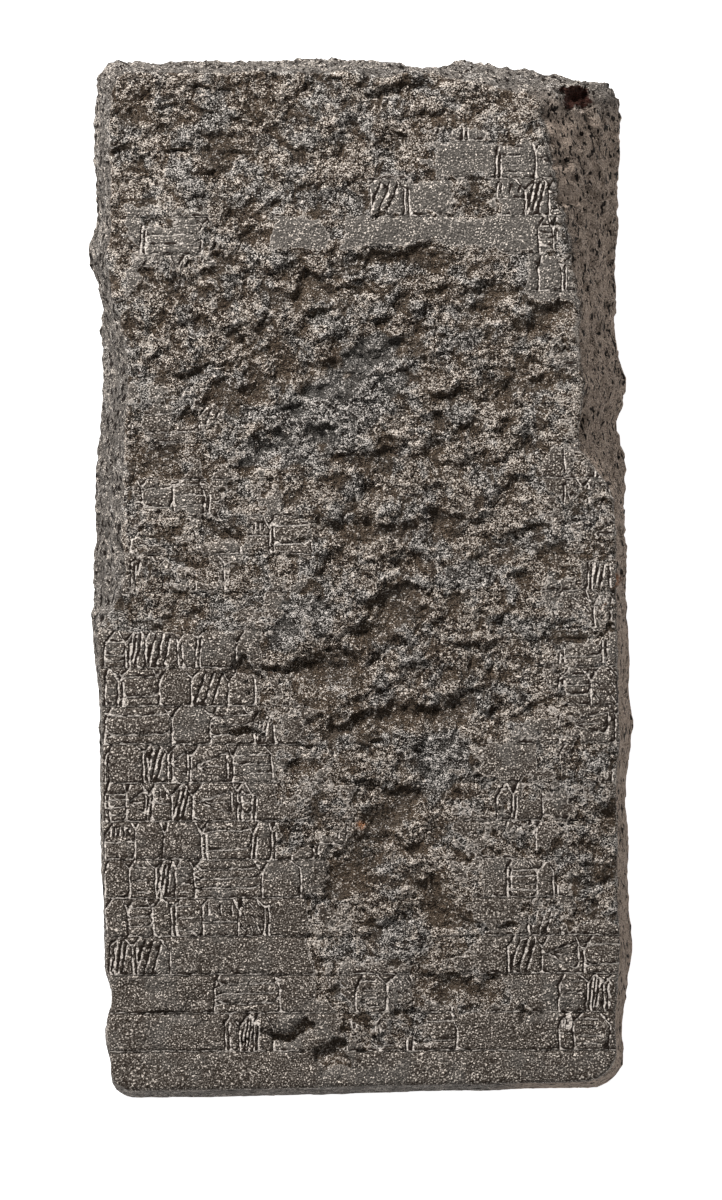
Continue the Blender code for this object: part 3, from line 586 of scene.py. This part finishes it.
def corner_bowl(x, y, z):
    """Share of the corner hole's depth: a bowl in plan, only in the slab's upper half."""
    across, up, radius, depth = CORNER_HOLE
    reach = np.hypot(x - (across - 0.5) * WIDTH, (y - (up - 0.5) * LENGTH) * 1.2) / radius
    reach = reach * (1 + 0.7 * sheet_noise(x, y, 0.009, 71) + 0.3 * sheet_noise(x, y, 0.004, 72))
    return np.clip(1 - reach ** 2, 0, 1) * smooth(*HOLE_FLOOR, z / THICKNESS)


def corner_hole(points):
    """Sink the deep hole that is eaten into the head's right corner."""
    inward = np.array(HOLE_INWARD) * CORNER_HOLE[3]
    return points + inward * corner_bowl(*points.T)[:, None]


SIDE_STRETCH = 1.6      # the sides' lumps and pits are this much longer along the slab
SIDE_SWELLS = [(0.0026, 0.024, 41), (0.0022, 0.011, 42)]   # the broad lumps: height, size, seed
SIDE_CLOD = 0.0014      # small round lumps with creases between them
SIDE_CLOD_SIZE = 0.0062
SIDE_GRIT = 0.0007
SIDE_GRIT_SIZE = 0.0034
SIDE_PIT = 0.0040       # depth of the sides' pits
SIDE_PIT_SIZE = 0.0068
EDGE_REACH = 24         # how steeply the sides' lumps fade into the face, as a power


def side_wear(u, v):
    """How rough each side is: calm at the foot and low on both sides, rough towards the head."""
    foot = 0.35 + 0.65 * smooth(0.0, 0.02, v)
    return foot * (0.5 + 0.5 * smooth(0.40, 0.50, v))


def side_push(x, y, z):
    """How far the sides' lumps, clods and grit stand out, less their pits."""
    y = y / SIDE_STRETCH
    push = np.zeros_like(x)
    for height, size, seed in SIDE_SWELLS:
        push += height * lump_noise(x, y, z, size, seed)
    push += SIDE_CLOD * (2 * np.abs(lump_noise(x, y, z, SIDE_CLOD_SIZE, 43)) - 0.5)
    push += SIDE_GRIT * lump_noise(x, y, z, SIDE_GRIT_SIZE, 44)
    return push - SIDE_PIT * smooth(0.22, 0.60, lump_noise(x, y, z, SIDE_PIT_SIZE, 45))


def slab_points(u, v, t, relief):
    """Places for points at share u across, v up and t down the sides from face to ground: the
    face's plan moves out to the widest line and in to the ground, and noise pushes the sides."""
    face_x, face_y = face_point(u, v)
    belly_x, belly_y = outline_point(u, v, 1.0)
    ground_x, ground_y = outline_point(u, v, GROUND_SHARE)
    slope = np.minimum(t / (1 - BELLY), 1.0) ** 0.85
    under = smooth(1 - BELLY, 1.0, t)
    x = face_x + (belly_x - face_x) * slope + (ground_x - belly_x) * under
    y = face_y + (belly_y - face_y) * slope + (ground_y - belly_y) * under
    z = (THICKNESS - relief - rim_drop(u, v)) * (1 - t)
    push = side_wear(u, v) * side_push(x, y, z) - FOOT_UNDERCUT * smooth(1 - BELLY / 2, 1.0, t)
    push = push * (0.35 + 0.65 * smooth(0, 0.05, t))
    out_u, out_v = 2 * u - 1, 2 * v - 1
    x = x + push * np.sign(out_u) * np.abs(out_u) ** EDGE_REACH
    y = y + push * np.sign(out_v) * np.abs(out_v) ** EDGE_REACH
    return corner_hole(np.stack([x, y, z], axis=-1))


# The mesh: a fine grid over the face, rings down the sides and in under the slab to a pole
CELL = 0.00068
RING_STEP = 0.0026      # height of one ring down the sides
UNDER_RINGS = 14
UNDER_HEIGHT = 0.0016   # how far the hollow places of the underside lie off the ground
TRIANGLES = 198000
KEEP_COST = 0.0007      # how strongly the thinning goes by these shares: 1 is thinned first
SLOPE_SPARE = 0.85
FACE_SPARE = 0.60
CUT_SPARE = 0.10


def under_points(u, v, inward):
    """Places under the slab: the ground outline drawn towards the middle by a share, its height
    a low noise that is never below the ground."""
    shrunk_u, shrunk_v = 0.5 + (u - 0.5) * (1 - inward), 0.5 + (v - 0.5) * (1 - inward)
    x, y, z = slab_points(shrunk_u, shrunk_v, 0 * u + 1, 0 * u).T
    height = 0.5 + 0.5 * sheet_noise(x, y, 0.034, 91) + 0.3 * sheet_noise(x, y, 0.011, 92)
    return np.stack([x, y, UNDER_HEIGHT * np.clip(height, 0, 1) * smooth(0, 0.06, inward)], axis=-1)


def slab_mesh():
    """The face's grid of quads, then quads between rings that all have the grid's border."""
    across, along = round(WIDTH / CELL), round(LENGTH / CELL)
    rings = round(THICKNESS / RING_STEP)
    u, v = np.meshgrid(np.linspace(0, 1, across + 1), np.linspace(0, 1, along + 1))
    relief = face_relief(*face_point(u.ravel(), v.ravel()))
    face = slab_points(u.ravel(), v.ravel(), np.zeros(u.size), relief)
    number = np.arange(u.size).reshape(u.shape)
    border = np.concatenate(
        [number[0, :-1], number[:-1, -1], number[-1, :0:-1], number[:0:-1, 0]]
    )
    edge_u, edge_v, edge = u.ravel()[border], v.ravel()[border], relief[border]
    downs = np.arange(1, rings + 1) / rings
    skirt = [slab_points(edge_u, edge_v, 0 * edge_u + down, edge) for down in downs]
    draws = np.linspace(0, 1, UNDER_RINGS + 1)[1:-1] ** 1.6
    skirt += [under_points(edge_u, edge_v, 0 * edge_u + share) for share in draws]
    middle = np.array([[0.0, 0.0, 0.5 * UNDER_HEIGHT]])
    points = np.concatenate([face, *skirt, middle])
    down = np.concatenate([np.zeros(u.size), np.repeat(downs, len(border)),
                           np.ones(len(draws) * len(border) + 1)])
    cells = np.stack([number[:-1, :-1], number[:-1, 1:], number[1:, 1:], number[1:, :-1]], axis=-1)
    loops = u.size + np.arange(len(skirt) * len(border)).reshape(len(skirt), len(border))
    loops = np.concatenate([border[None], loops])
    after = np.roll(loops, -1, axis=1)
    bands = np.stack([loops[:-1], loops[1:], after[1:], after[:-1]], axis=-1)
    quads = np.concatenate([cells.reshape(-1, 4), bands.reshape(-1, 4)])
    pole = np.full(len(border), len(points) - 1)
    fan = np.stack([loops[-1], pole, after[-1]], axis=-1)
    mesh = mesh_of("lead_tablet", points, quads, fan)
    give_values(mesh, "down", down)
    x, y = points[:, 0], points[:, 1]
    on_cut = (cut_distance(x, y) < STROKE_WIDTH) & (skin_depth(x, y) > 0)
    on_face = np.where(on_cut, CUT_SPARE, FACE_SPARE)
    on_side = np.where(down < 0.5, SLOPE_SPARE, 1.0)
    give_values(mesh, "spare", np.where(down > 0, on_side, on_face))
    return mesh


def give_values(mesh, name, values):
    """Store one number at each of the mesh's points, for the material to read."""
    layer = mesh.attributes.new(name, "FLOAT", "POINT")
    layer.data.foreach_set("value", values.astype(np.float32))


def mesh_of(name, points, quads, triangles):
    """A Blender mesh from arrays of points, of four-cornered and of three-cornered faces."""
    mesh = bpy.data.meshes.new(name)
    mesh.vertices.add(len(points))
    mesh.vertices.foreach_set("co", np.round(points, 6).astype(np.float32).ravel())
    corners = np.concatenate([quads.ravel(), triangles.ravel()]).astype(np.int32)
    starts = np.concatenate(
        [4 * np.arange(len(quads)), 4 * len(quads) + 3 * np.arange(len(triangles))]
    )
    mesh.loops.add(len(corners))
    mesh.loops.foreach_set("vertex_index", corners)
    mesh.polygons.add(len(starts))
    mesh.polygons.foreach_set("loop_start", starts.astype(np.int32))
    mesh.update(calc_edges=True)
    return mesh


def mesh_points(mesh):
    """The mesh's points as rows of three numbers."""
    flat = np.empty(len(mesh.vertices) * 3, np.float32)
    mesh.vertices.foreach_get("co", flat)
    return flat.reshape(-1, 3).astype(float)


def thinned(piece):
    """The piece's mesh with fewer triangles where it is flat, set over the CAD slab's middle."""
    spare = np.empty(len(piece.data.vertices), np.float32)
    piece.data.attributes["spare"].data.foreach_get("value", spare)
    group = piece.vertex_groups.new(name="spare")
    for weight in np.unique(spare):
        group.add(np.flatnonzero(spare == weight).tolist(), float(weight), "REPLACE")
    thin = piece.modifiers.new("thin_flat_parts", "DECIMATE")
    thin.vertex_group = "spare"
    thin.vertex_group_factor = KEEP_COST
    thin.ratio = min(1.0, TRIANGLES / (2 * len(piece.data.polygons)))
    seen = piece.evaluated_get(bpy.context.evaluated_depsgraph_get())
    mesh = bpy.data.meshes.new_from_object(seen)
    piece.modifiers.remove(thin)
    points = mesh_points(mesh)
    middle = (points.min(axis=0) + points.max(axis=0)) / 2
    wanted = [(cad_low[0] + cad_high[0]) / 2, (cad_low[1] + cad_high[1]) / 2]
    points += [wanted[0] - middle[0], wanted[1] - middle[1], 0]
    points[:, 2] = np.clip(points[:, 2], 0, None)
    mesh.vertices.foreach_set("co", points.astype(np.float32).ravel())
    mesh.shade_smooth()
    return mesh


tablet = bpy.data.objects.new("lead_tablet_surface", slab_mesh())
bpy.context.scene.collection.objects.link(tablet)
tablet.data = thinned(tablet)


LIT_WALL = (0.00025, -0.00040)   # from a cut's middle to its lit wall, where pale crust is painted, partly as that wall's highlight
LINE_PALER = 0.00020    # how much less of it a ruled line holds than a stroke
SIDE_START = (0.004, 0.020)      # where the face ends and a side starts, as shares of the way down
RIGHT_START = (0.08, 0.13)       # where the right side starts across the slab
RIGHT_END = (0.310, 0.345)       # and where it ends along it, at the broken corner
SKIN_SCALE = 0.004      # what counts as 1 in each stored value: the depth inside the skin
HOLLOW_SCALE = 0.008    # the depth of a hollow
CUT_SCALE = 0.002       # the distance from a cut
LUMPS_SCALE = 0.0030    # the rise of the lumps, of the ridges and of the sides' lumps
RIDGES_SCALE = 0.0200
PUSH_SCALE = 0.0050
# Rusty spots: across, up, radius
STAINS = [(0.986, 0.497, 0.008), (0.968, 0.470, 0.005), (0.500, 0.262, 0.006)]


def store_wear(mesh):
    """What the material needs to know: how far inside the skin's border, how deep the hollow, how
    near a cut's pale lit wall and its other wall, where shade is painted, whether a crest (1) or a
    crease (0) of the crust, whether on a side, and how near the corner hole, a firm patch and a
    rusty spot."""
    x, y, z = mesh_points(mesh).T
    down = np.empty(len(x), np.float32)
    mesh.attributes["down"].data.foreach_get("value", down)
    side = smooth(*SIDE_START, down)
    inside = skin_depth(x, y)
    # Distance to each cut's lit wall, where the material paints pale crust that is partly a painted
    # highlight
    away = cut_distance(x, y, LIT_WALL, LINE_PALER)
    # Distance to each cut's other wall, away from the lamp, where the material paints shade
    dark_away = cut_distance(x, y, (-LIT_WALL[0], -LIT_WALL[1]))
    rise, lumps = crust_rise(x, y)
    crest = 0.5 + lumps / LUMPS_SCALE + (rise - lumps) / RIDGES_SCALE
    outer = 0.5 + side_push(x, y, z) / PUSH_SCALE
    give_values(mesh, "skin", np.clip(inside / SKIN_SCALE, -1, 1) * (1 - side) - side)
    give_values(mesh, "hollow", np.clip(hollow_depth(x, y) / HOLLOW_SCALE, 0, 1) * (1 - side))
    give_values(mesh, "cut", np.clip(away / CUT_SCALE, 0, 1) * (1 - side) + side)
    give_values(mesh, "cut_shade", np.clip(dark_away / CUT_SCALE, 0, 1) * (1 - side) + side)
    give_values(mesh, "crest", crest * (1 - side) + outer * side)
    give_values(mesh, "side", side)
    give_values(mesh, "right_side", side * smooth(*RIGHT_START, x) * (1 - smooth(*RIGHT_END, y)))
    give_values(mesh, "hole", corner_bowl(x, y, z))
    give_values(mesh, "firm", firm_share(x, y) * (1 - side))
    stain = [
        np.hypot(x - (u - 0.5) * WIDTH, y - (v - 0.5) * LENGTH) / size for u, v, size in STAINS
    ]
    give_values(mesh, "stain", np.clip(1 - np.min(stain, axis=0), 0, 1))


store_wear(tablet.data)
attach(tablet, "root")
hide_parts("lead_tablet")


# The surface of old lead
# The skin is dull dark grey with a fine sandy crust. The ground is brown-grey, bluish where it is
# firmer, with pale crumbs on its crests, painted shade in its creases and brown earth in its
# hollows. Pale crust lines the cuts, partly as a painted highlight on their lit walls, with painted
# shade on their other walls, and the sides are pitted, with painted shade in the pits.
SKIN_DARK = (0.034, 0.024, 0.017, 1)
SKIN_LIGHT = (0.160, 0.138, 0.118, 1)
SKIN_GREY = (0.128, 0.119, 0.108, 1)
GROUND_BROWN = (0.150, 0.112, 0.082, 1)
GROUND_GREY = (0.122, 0.112, 0.100, 1)
EARTH_BROWN = (0.116, 0.082, 0.055, 1)
FIRM_GREY = (0.118, 0.113, 0.105, 1)
SIDE_LEFT = (0.200, 0.176, 0.154, 1)
# Brown of the right side, made lighter as painted light, since that side faces away from the lamp
SIDE_RIGHT_BROWN_AND_PAINTED_LIGHT = (0.470, 0.365, 0.290, 1)
# Painted shade, laid in the crust's creases, the sides' pits, the corner hole and one wall of each
# cut
PAINTED_SHADE_DARK = (0.020, 0.013, 0.009, 1)
HOLE_RED = (0.120, 0.042, 0.030, 1)
STAIN_ORANGE = (0.420, 0.190, 0.090, 1)
CRUMB_PALE = (0.840, 0.740, 0.645, 1)
CRUMB_GREY = (0.780, 0.715, 0.655, 1)
CUT_PALE = (0.640, 0.575, 0.515, 1)

GRAIN_SIZE = 0.0014     # sizes of the patterns, from single grains to broad stains
SAND_SIZE = 0.0011
PIT_SIZE = 0.0038
CLUMP_SIZE = 0.0042
CRUST_SIZE = 0.0048
CRUST_LUMP_SIZE = 0.0090
TINT_SIZE = 0.018
BLOTCH_SIZE = 0.030
PIT_RELIEF = 0.0080     # and how tall each counts as fine relief
CRUST_LUMP_RELIEF = 0.0075
CRUST_RELIEF = 0.0090
CRUMB_RELIEF = 0.0005
GRAIN_RELIEF = 0.0016
LEAD_ROUGHNESS = 0.82
LEAD_SHINE = 0.15
# The numbers stored at the mesh's points
WEAR = (
    "skin", "hollow", "cut", "cut_shade", "crest", "side", "right_side", "hole", "firm", "stain",
)


class Nodes:
    """A material's nodes, added one after another and joined as they are made."""

    def __init__(self, name):
        self.material = bpy.data.materials.new(name)
        self.material.use_nodes = True
        self.tree = self.material.node_tree
        self.surface = self.tree.nodes["Principled BSDF"]
        self.place = self.tree.nodes.new("ShaderNodeTexCoord").outputs["Object"]

    def put(self, socket, value):
        """Join an output to a socket, or set the socket to a plain value."""
        if isinstance(value, bpy.types.NodeSocket):
            self.tree.links.new(value, socket)
        else:
            socket.default_value = value

    def fill(self, node, **inputs):
        """Join or set inputs of a node, named with an underscore for each space."""
        for name, value in inputs.items():
            self.put(node.inputs[name.replace("_", " ")], value)

    def add(self, kind, **inputs):
        """A new node of a kind, with its inputs joined or set."""
        node = self.tree.nodes.new("ShaderNode" + kind)
        self.fill(node, **inputs)
        return node

    def value(self, name):
        """A number stored at the mesh's points."""
        node = self.add("Attribute")
        node.attribute_name = name
        return node.outputs["Fac"]

    def stretched(self, share):
        """The place with a share of its y: below 1, a pattern comes out long along the slab."""
        return self.add("Mapping", Vector=self.place, Scale=(1, share, 1)).outputs["Vector"]

    def along(self):
        """The place's y, from foot to head."""
        return self.add("SeparateXYZ", Vector=self.place).outputs["Y"]

    def noise(self, size, detail=2.0, rough=0.5, place=None):
        """Noise of a given lump size in metres, about 0 to 1."""
        place = self.place if place is None else place
        node = self.add("TexNoise", Vector=place, Scale=1 / size, Detail=detail, Roughness=rough)
        return node.outputs["Fac"]

    def grains(self, size, place):
        """Packed grains of a given size: how far each point is from its grain's middle, in sizes,
        and a number from 0 to 1 that each grain has for itself."""
        node = self.add("TexVoronoi", Vector=place, Scale=1 / size)
        return node.outputs["Distance"], node.outputs["Color"]

    def ramp(self, value, low, high):
        """The value stretched so that low gives 0 and high gives 1, with an S curve between."""
        node = self.add("MapRange", Value=value, From_Min=low, From_Max=high)
        node.interpolation_type = "SMOOTHSTEP"
        return node.outputs["Result"]

    def maths(self, operation, first, second):
        """Two numbers combined."""
        node = self.add("Math")
        node.operation = operation
        self.put(node.inputs[0], first)
        self.put(node.inputs[1], second)
        return node.outputs[0]

    def swing(self, pattern, share):
        """A share of how far a pattern is above or below its middle."""
        return self.maths("MULTIPLY", self.maths("SUBTRACT", pattern, 0.5), share)

    def total(self, first, *others):
        """Numbers added up."""
        for other in others:
            first = self.maths("ADD", first, other)
        return first

    def short(self, value, share=1.0):
        """1 less a share of the value."""
        return self.maths("SUBTRACT", 1.0, self.maths("MULTIPLY", value, share))

    def mix(self, share, first, second):
        """One colour over another, by a share from 0 to 1."""
        node = self.add("Mix", Factor=share)
        node.data_type = "RGBA"
        self.put(node.inputs[6], first)
        self.put(node.inputs[7], second)
        return node.outputs[2]

    def bump(self, height, distance, strength, under=None):
        """Fine relief from a height, in metres, laid over any relief given."""
        node = self.add("Bump", Height=height, Distance=distance, Strength=strength)
        if under is not None:
            self.fill(node, Normal=under)
        return node.outputs["Normal"]


def crust_patterns(n):
    """The patterns that the ground and the skin share, each about 0 to 1."""
    from_grain, own = n.grains(GRAIN_SIZE, n.stretched(1.25))
    return {
        "grain": n.noise(GRAIN_SIZE, 0.0),
        "crumb": n.ramp(from_grain, 0.75, 0.10),
        "own": own,
        "sand": n.noise(SAND_SIZE, 2.0, 0.6),
        "pits": n.noise(PIT_SIZE, 1.0, 0.6, n.stretched(0.6)),
        "clump": n.noise(CLUMP_SIZE, 1.0, 0.6),
        "crust": n.noise(CRUST_SIZE, 3.0, 1.0, n.stretched(1.3)),
        "lumps": n.noise(CRUST_LUMP_SIZE, 1.0, 0.6, n.stretched(1.3)),
        "tint": n.noise(TINT_SIZE, 3.0, 0.6),
        "blotch": n.noise(BLOTCH_SIZE, 4.0, 0.6),
    }


def ground_colour(n, wear, pattern, ragged):
    """The corroded ground and the sides: brown or grey, earthy in the hollows, with pale crumbs
    where the patterns are high and the crests stand up, and painted shade in the creases where they
    are low."""
    side, right = wear["side"], wear["right_side"]
    earthy = n.ramp(wear["hollow"], 0.03, 0.32)
    crumbly = n.maths("MULTIPLY", n.ramp(wear["crest"], 0.05, 0.55), n.short(earthy))
    crumbly = n.total(n.maths("MULTIPLY", crumbly, 0.75), 0.25)
    loose = n.total(n.maths("MULTIPLY", crumbly, 0.95), 0.15)
    loose = n.maths("MULTIPLY", loose, n.short(side, 0.50))
    crumbs = n.total(
        n.swing(pattern["crust"], 0.60), n.swing(pattern["sand"], 0.74),
        n.swing(pattern["lumps"], 0.16),
    )
    crumbs = n.total(
        n.maths("MULTIPLY", crumbs, loose), n.swing(wear["crest"], 0.040),
        n.swing(pattern["own"], 0.080), n.swing(pattern["blotch"], 0.080),
    )
    pale = n.maths("SUBTRACT", n.ramp(crumbs, 0.034, 0.056), n.maths("MULTIPLY", right, 0.9))
    dark = n.ramp(crumbs, -0.042, -0.072)
    firm = n.maths("MULTIPLY", n.ramp(wear["firm"], 0.05, 0.45), 0.8)
    greyer = n.ramp(pattern["tint"], 0.50, 0.60)
    greyer = n.maths("MAXIMUM", n.ramp(wear["firm"], 0.05, 0.35), greyer)
    more_pits = n.maths("MULTIPLY", n.maths("SUBTRACT", side, right), 0.012)
    pits = n.ramp(n.maths("SUBTRACT", pattern["pits"], more_pits), 0.42, 0.37)
    hole = n.ramp(n.total(wear["hole"], ragged), 0.22, 0.55)
    rust = n.total(pattern["grain"], 0.5)
    rust = n.ramp(n.maths("MULTIPLY", wear["stain"], rust), 0.2, 0.9)
    ground = n.mix(n.ramp(pattern["tint"], 0.46, 0.56), GROUND_BROWN, GROUND_GREY)
    ground = n.mix(crumbly, EARTH_BROWN, ground)
    ground = n.mix(firm, ground, FIRM_GREY)
    # The right side's colour holds painted light, as that side faces away from the lamp
    ground = n.mix(side, ground, n.mix(right, SIDE_LEFT, SIDE_RIGHT_BROWN_AND_PAINTED_LIGHT))
    # Painted shade in the creases, where the crust's relief patterns and crests are low, partly
    # random tone
    ground = n.mix(dark, ground, PAINTED_SHADE_DARK)
    ground = n.mix(pale, ground, n.mix(greyer, CRUMB_PALE, CRUMB_GREY))
    # Painted shade in the sides' pits, where their relief pattern is low, more on the left side
    ground = n.mix(n.maths("MULTIPLY", pits, side), ground, PAINTED_SHADE_DARK)
    # The corner hole: dark red corrosion, darkened further by painted shade in the hole
    ground = n.mix(hole, ground, n.mix(pattern["grain"], PAINTED_SHADE_DARK, HOLE_RED))
    return n.mix(rust, ground, STAIN_ORANGE)


def skin_colour(n, wear, pattern, ragged):
    """The surviving skin: dark grey under sand, cleaner towards the head, with pale crust along the
    lit wall of each cut, partly a painted highlight, and along the skin's own edge, and painted
    shade along the cut's other wall."""
    sand = n.total(pattern["sand"], n.swing(pattern["crust"], 0.35))
    broken = n.swing(pattern["clump"], 0.7)
    cleaner = n.ramp(pattern["blotch"], 0.48, 0.66)
    cleaner = n.maths("MAXIMUM", n.ramp(n.along(), 0.10, 0.22), cleaner)
    rim = n.maths("ABSOLUTE", n.total(wear["skin"], ragged, -0.06), 0.0)
    face = n.mix(n.ramp(sand, 0.42, 0.60), SKIN_DARK, SKIN_LIGHT)
    face = n.mix(n.maths("MULTIPLY", cleaner, 0.5), face, SKIN_GREY)
    face = n.mix(n.ramp(sand, 0.59, 0.66), face, CRUMB_PALE)
    # Painted shade along each cut's wall that faces away from the lamp
    face = n.mix(n.ramp(n.total(wear["cut_shade"], broken), 0.62, 0.36), face, PAINTED_SHADE_DARK)
    # Pale crust on each cut's lit wall: partly crust, partly a painted highlight of that wall
    face = n.mix(n.ramp(n.total(wear["cut"], broken), 0.28, 0.14), face, CUT_PALE)
    return n.mix(n.maths("MULTIPLY", n.ramp(rim, 0.14, 0.04), 0.5), face, CUT_PALE)


def corroded_lead():
    """The tablet's one material: the ground, the skin over it, and fine relief on both."""
    n = Nodes("corroded_lead")
    wear = {name: n.value(name) for name in WEAR}
    pattern = crust_patterns(n)
    ragged = n.swing(pattern["clump"], 1.2)
    skin = n.ramp(n.total(wear["skin"], ragged), -0.10, 0.10)
    ground = ground_colour(n, wear, pattern, ragged)
    face = skin_colour(n, wear, pattern, ragged)
    off_skin = n.short(skin, 0.92)
    relief = n.bump(pattern["pits"], PIT_RELIEF, n.maths("MULTIPLY", wear["side"], 0.8))
    relief = n.bump(pattern["lumps"], CRUST_LUMP_RELIEF, off_skin, relief)
    relief = n.bump(pattern["crust"], CRUST_RELIEF, off_skin, relief)
    relief = n.bump(pattern["crumb"], CRUMB_RELIEF, n.short(skin, 0.8), relief)
    relief = n.bump(pattern["grain"], GRAIN_RELIEF, 0.7, relief)
    n.fill(n.surface, Base_Color=n.mix(skin, ground, face), Normal=relief)
    n.fill(n.surface, Roughness=LEAD_ROUGHNESS, Specular_IOR_Level=LEAD_SHINE)
    return n.material


tablet.data.materials.clear()
tablet.data.materials.append(corroded_lead())


# The floor, the light and the camera
# A plain pale floor, a soft studio lamp from the head's left, an even sky, and a camera that
# looks straight down on the face from far off, as the slab was photographed.
FLOOR_SIZE = 8.0
FLOOR_PALE = (0.80, 0.80, 0.80, 1)
FLOOR_GLOW = 0.90       # the sheet is lit from under, so that shadows on it stay faint
FLOOR_BELOW = 0.0004    # how far it lies below the slab
LAMP_PLACE = (-1.2, 2.3, 1.9)
LAMP_TARGET = (0, 0, 0.06)
LAMP_SIZE = 0.6
LAMP_POWER = 150
SKY_STRENGTH = 0.26
WHITE = (1, 1, 1, 1)
CAMERA_HEIGHT = 9.0
PICTURE_TALL = 0.8374   # metres of floor from the picture's top to its bottom
PICTURE_SHIFT = 0.016   # how far the picture's middle lies towards the foot
SENSOR = 36.0           # mm, along the picture's taller side


def floor():
    """A flat square sheet."""
    half = FLOOR_SIZE / 2
    corners = np.array([(-half, -half, 0), (half, -half, 0), (half, half, 0), (-half, half, 0)])
    mesh = mesh_of("floor", corners, np.array([[0, 1, 2, 3]]), np.empty((0, 3), int))
    n = Nodes("pale_floor")
    n.fill(n.surface, Base_Color=FLOOR_PALE, Roughness=0.9)
    n.fill(n.surface, Emission_Color=WHITE, Emission_Strength=FLOOR_GLOW)
    mesh.materials.append(n.material)
    sheet = bpy.data.objects.new("floor", mesh)
    sheet.location.z = -FLOOR_BELOW
    bpy.context.scene.collection.objects.link(sheet)


def lamp():
    """A square soft lamp that faces the slab."""
    light = bpy.data.lights.new("key", "AREA")
    light.size = LAMP_SIZE
    light.energy = LAMP_POWER
    holder = bpy.data.objects.new("key", light)
    holder.location = LAMP_PLACE
    aim = Vector(LAMP_PLACE) - Vector(LAMP_TARGET)
    holder.rotation_euler = aim.to_track_quat("Z", "Y").to_euler()
    bpy.context.scene.collection.objects.link(holder)


floor()
lamp()
world = bpy.data.worlds.new("studio")
world.use_nodes = True
sky = world.node_tree.nodes["Background"]
sky.inputs["Color"].default_value = WHITE
sky.inputs["Strength"].default_value = SKY_STRENGTH
bpy.context.scene.world = world
bpy.context.scene.view_settings.view_transform = "Standard"

camera = bpy.data.cameras.new("camera")
camera.sensor_fit = "VERTICAL"
camera.sensor_height = SENSOR
camera.lens = SENSOR * (CAMERA_HEIGHT - THICKNESS / 2) / PICTURE_TALL
camera.clip_end = 50
eye = bpy.data.objects.new("camera", camera)
eye.location = (0, -PICTURE_SHIFT, CAMERA_HEIGHT)
bpy.context.scene.collection.objects.link(eye)
bpy.context.scene.camera = eye
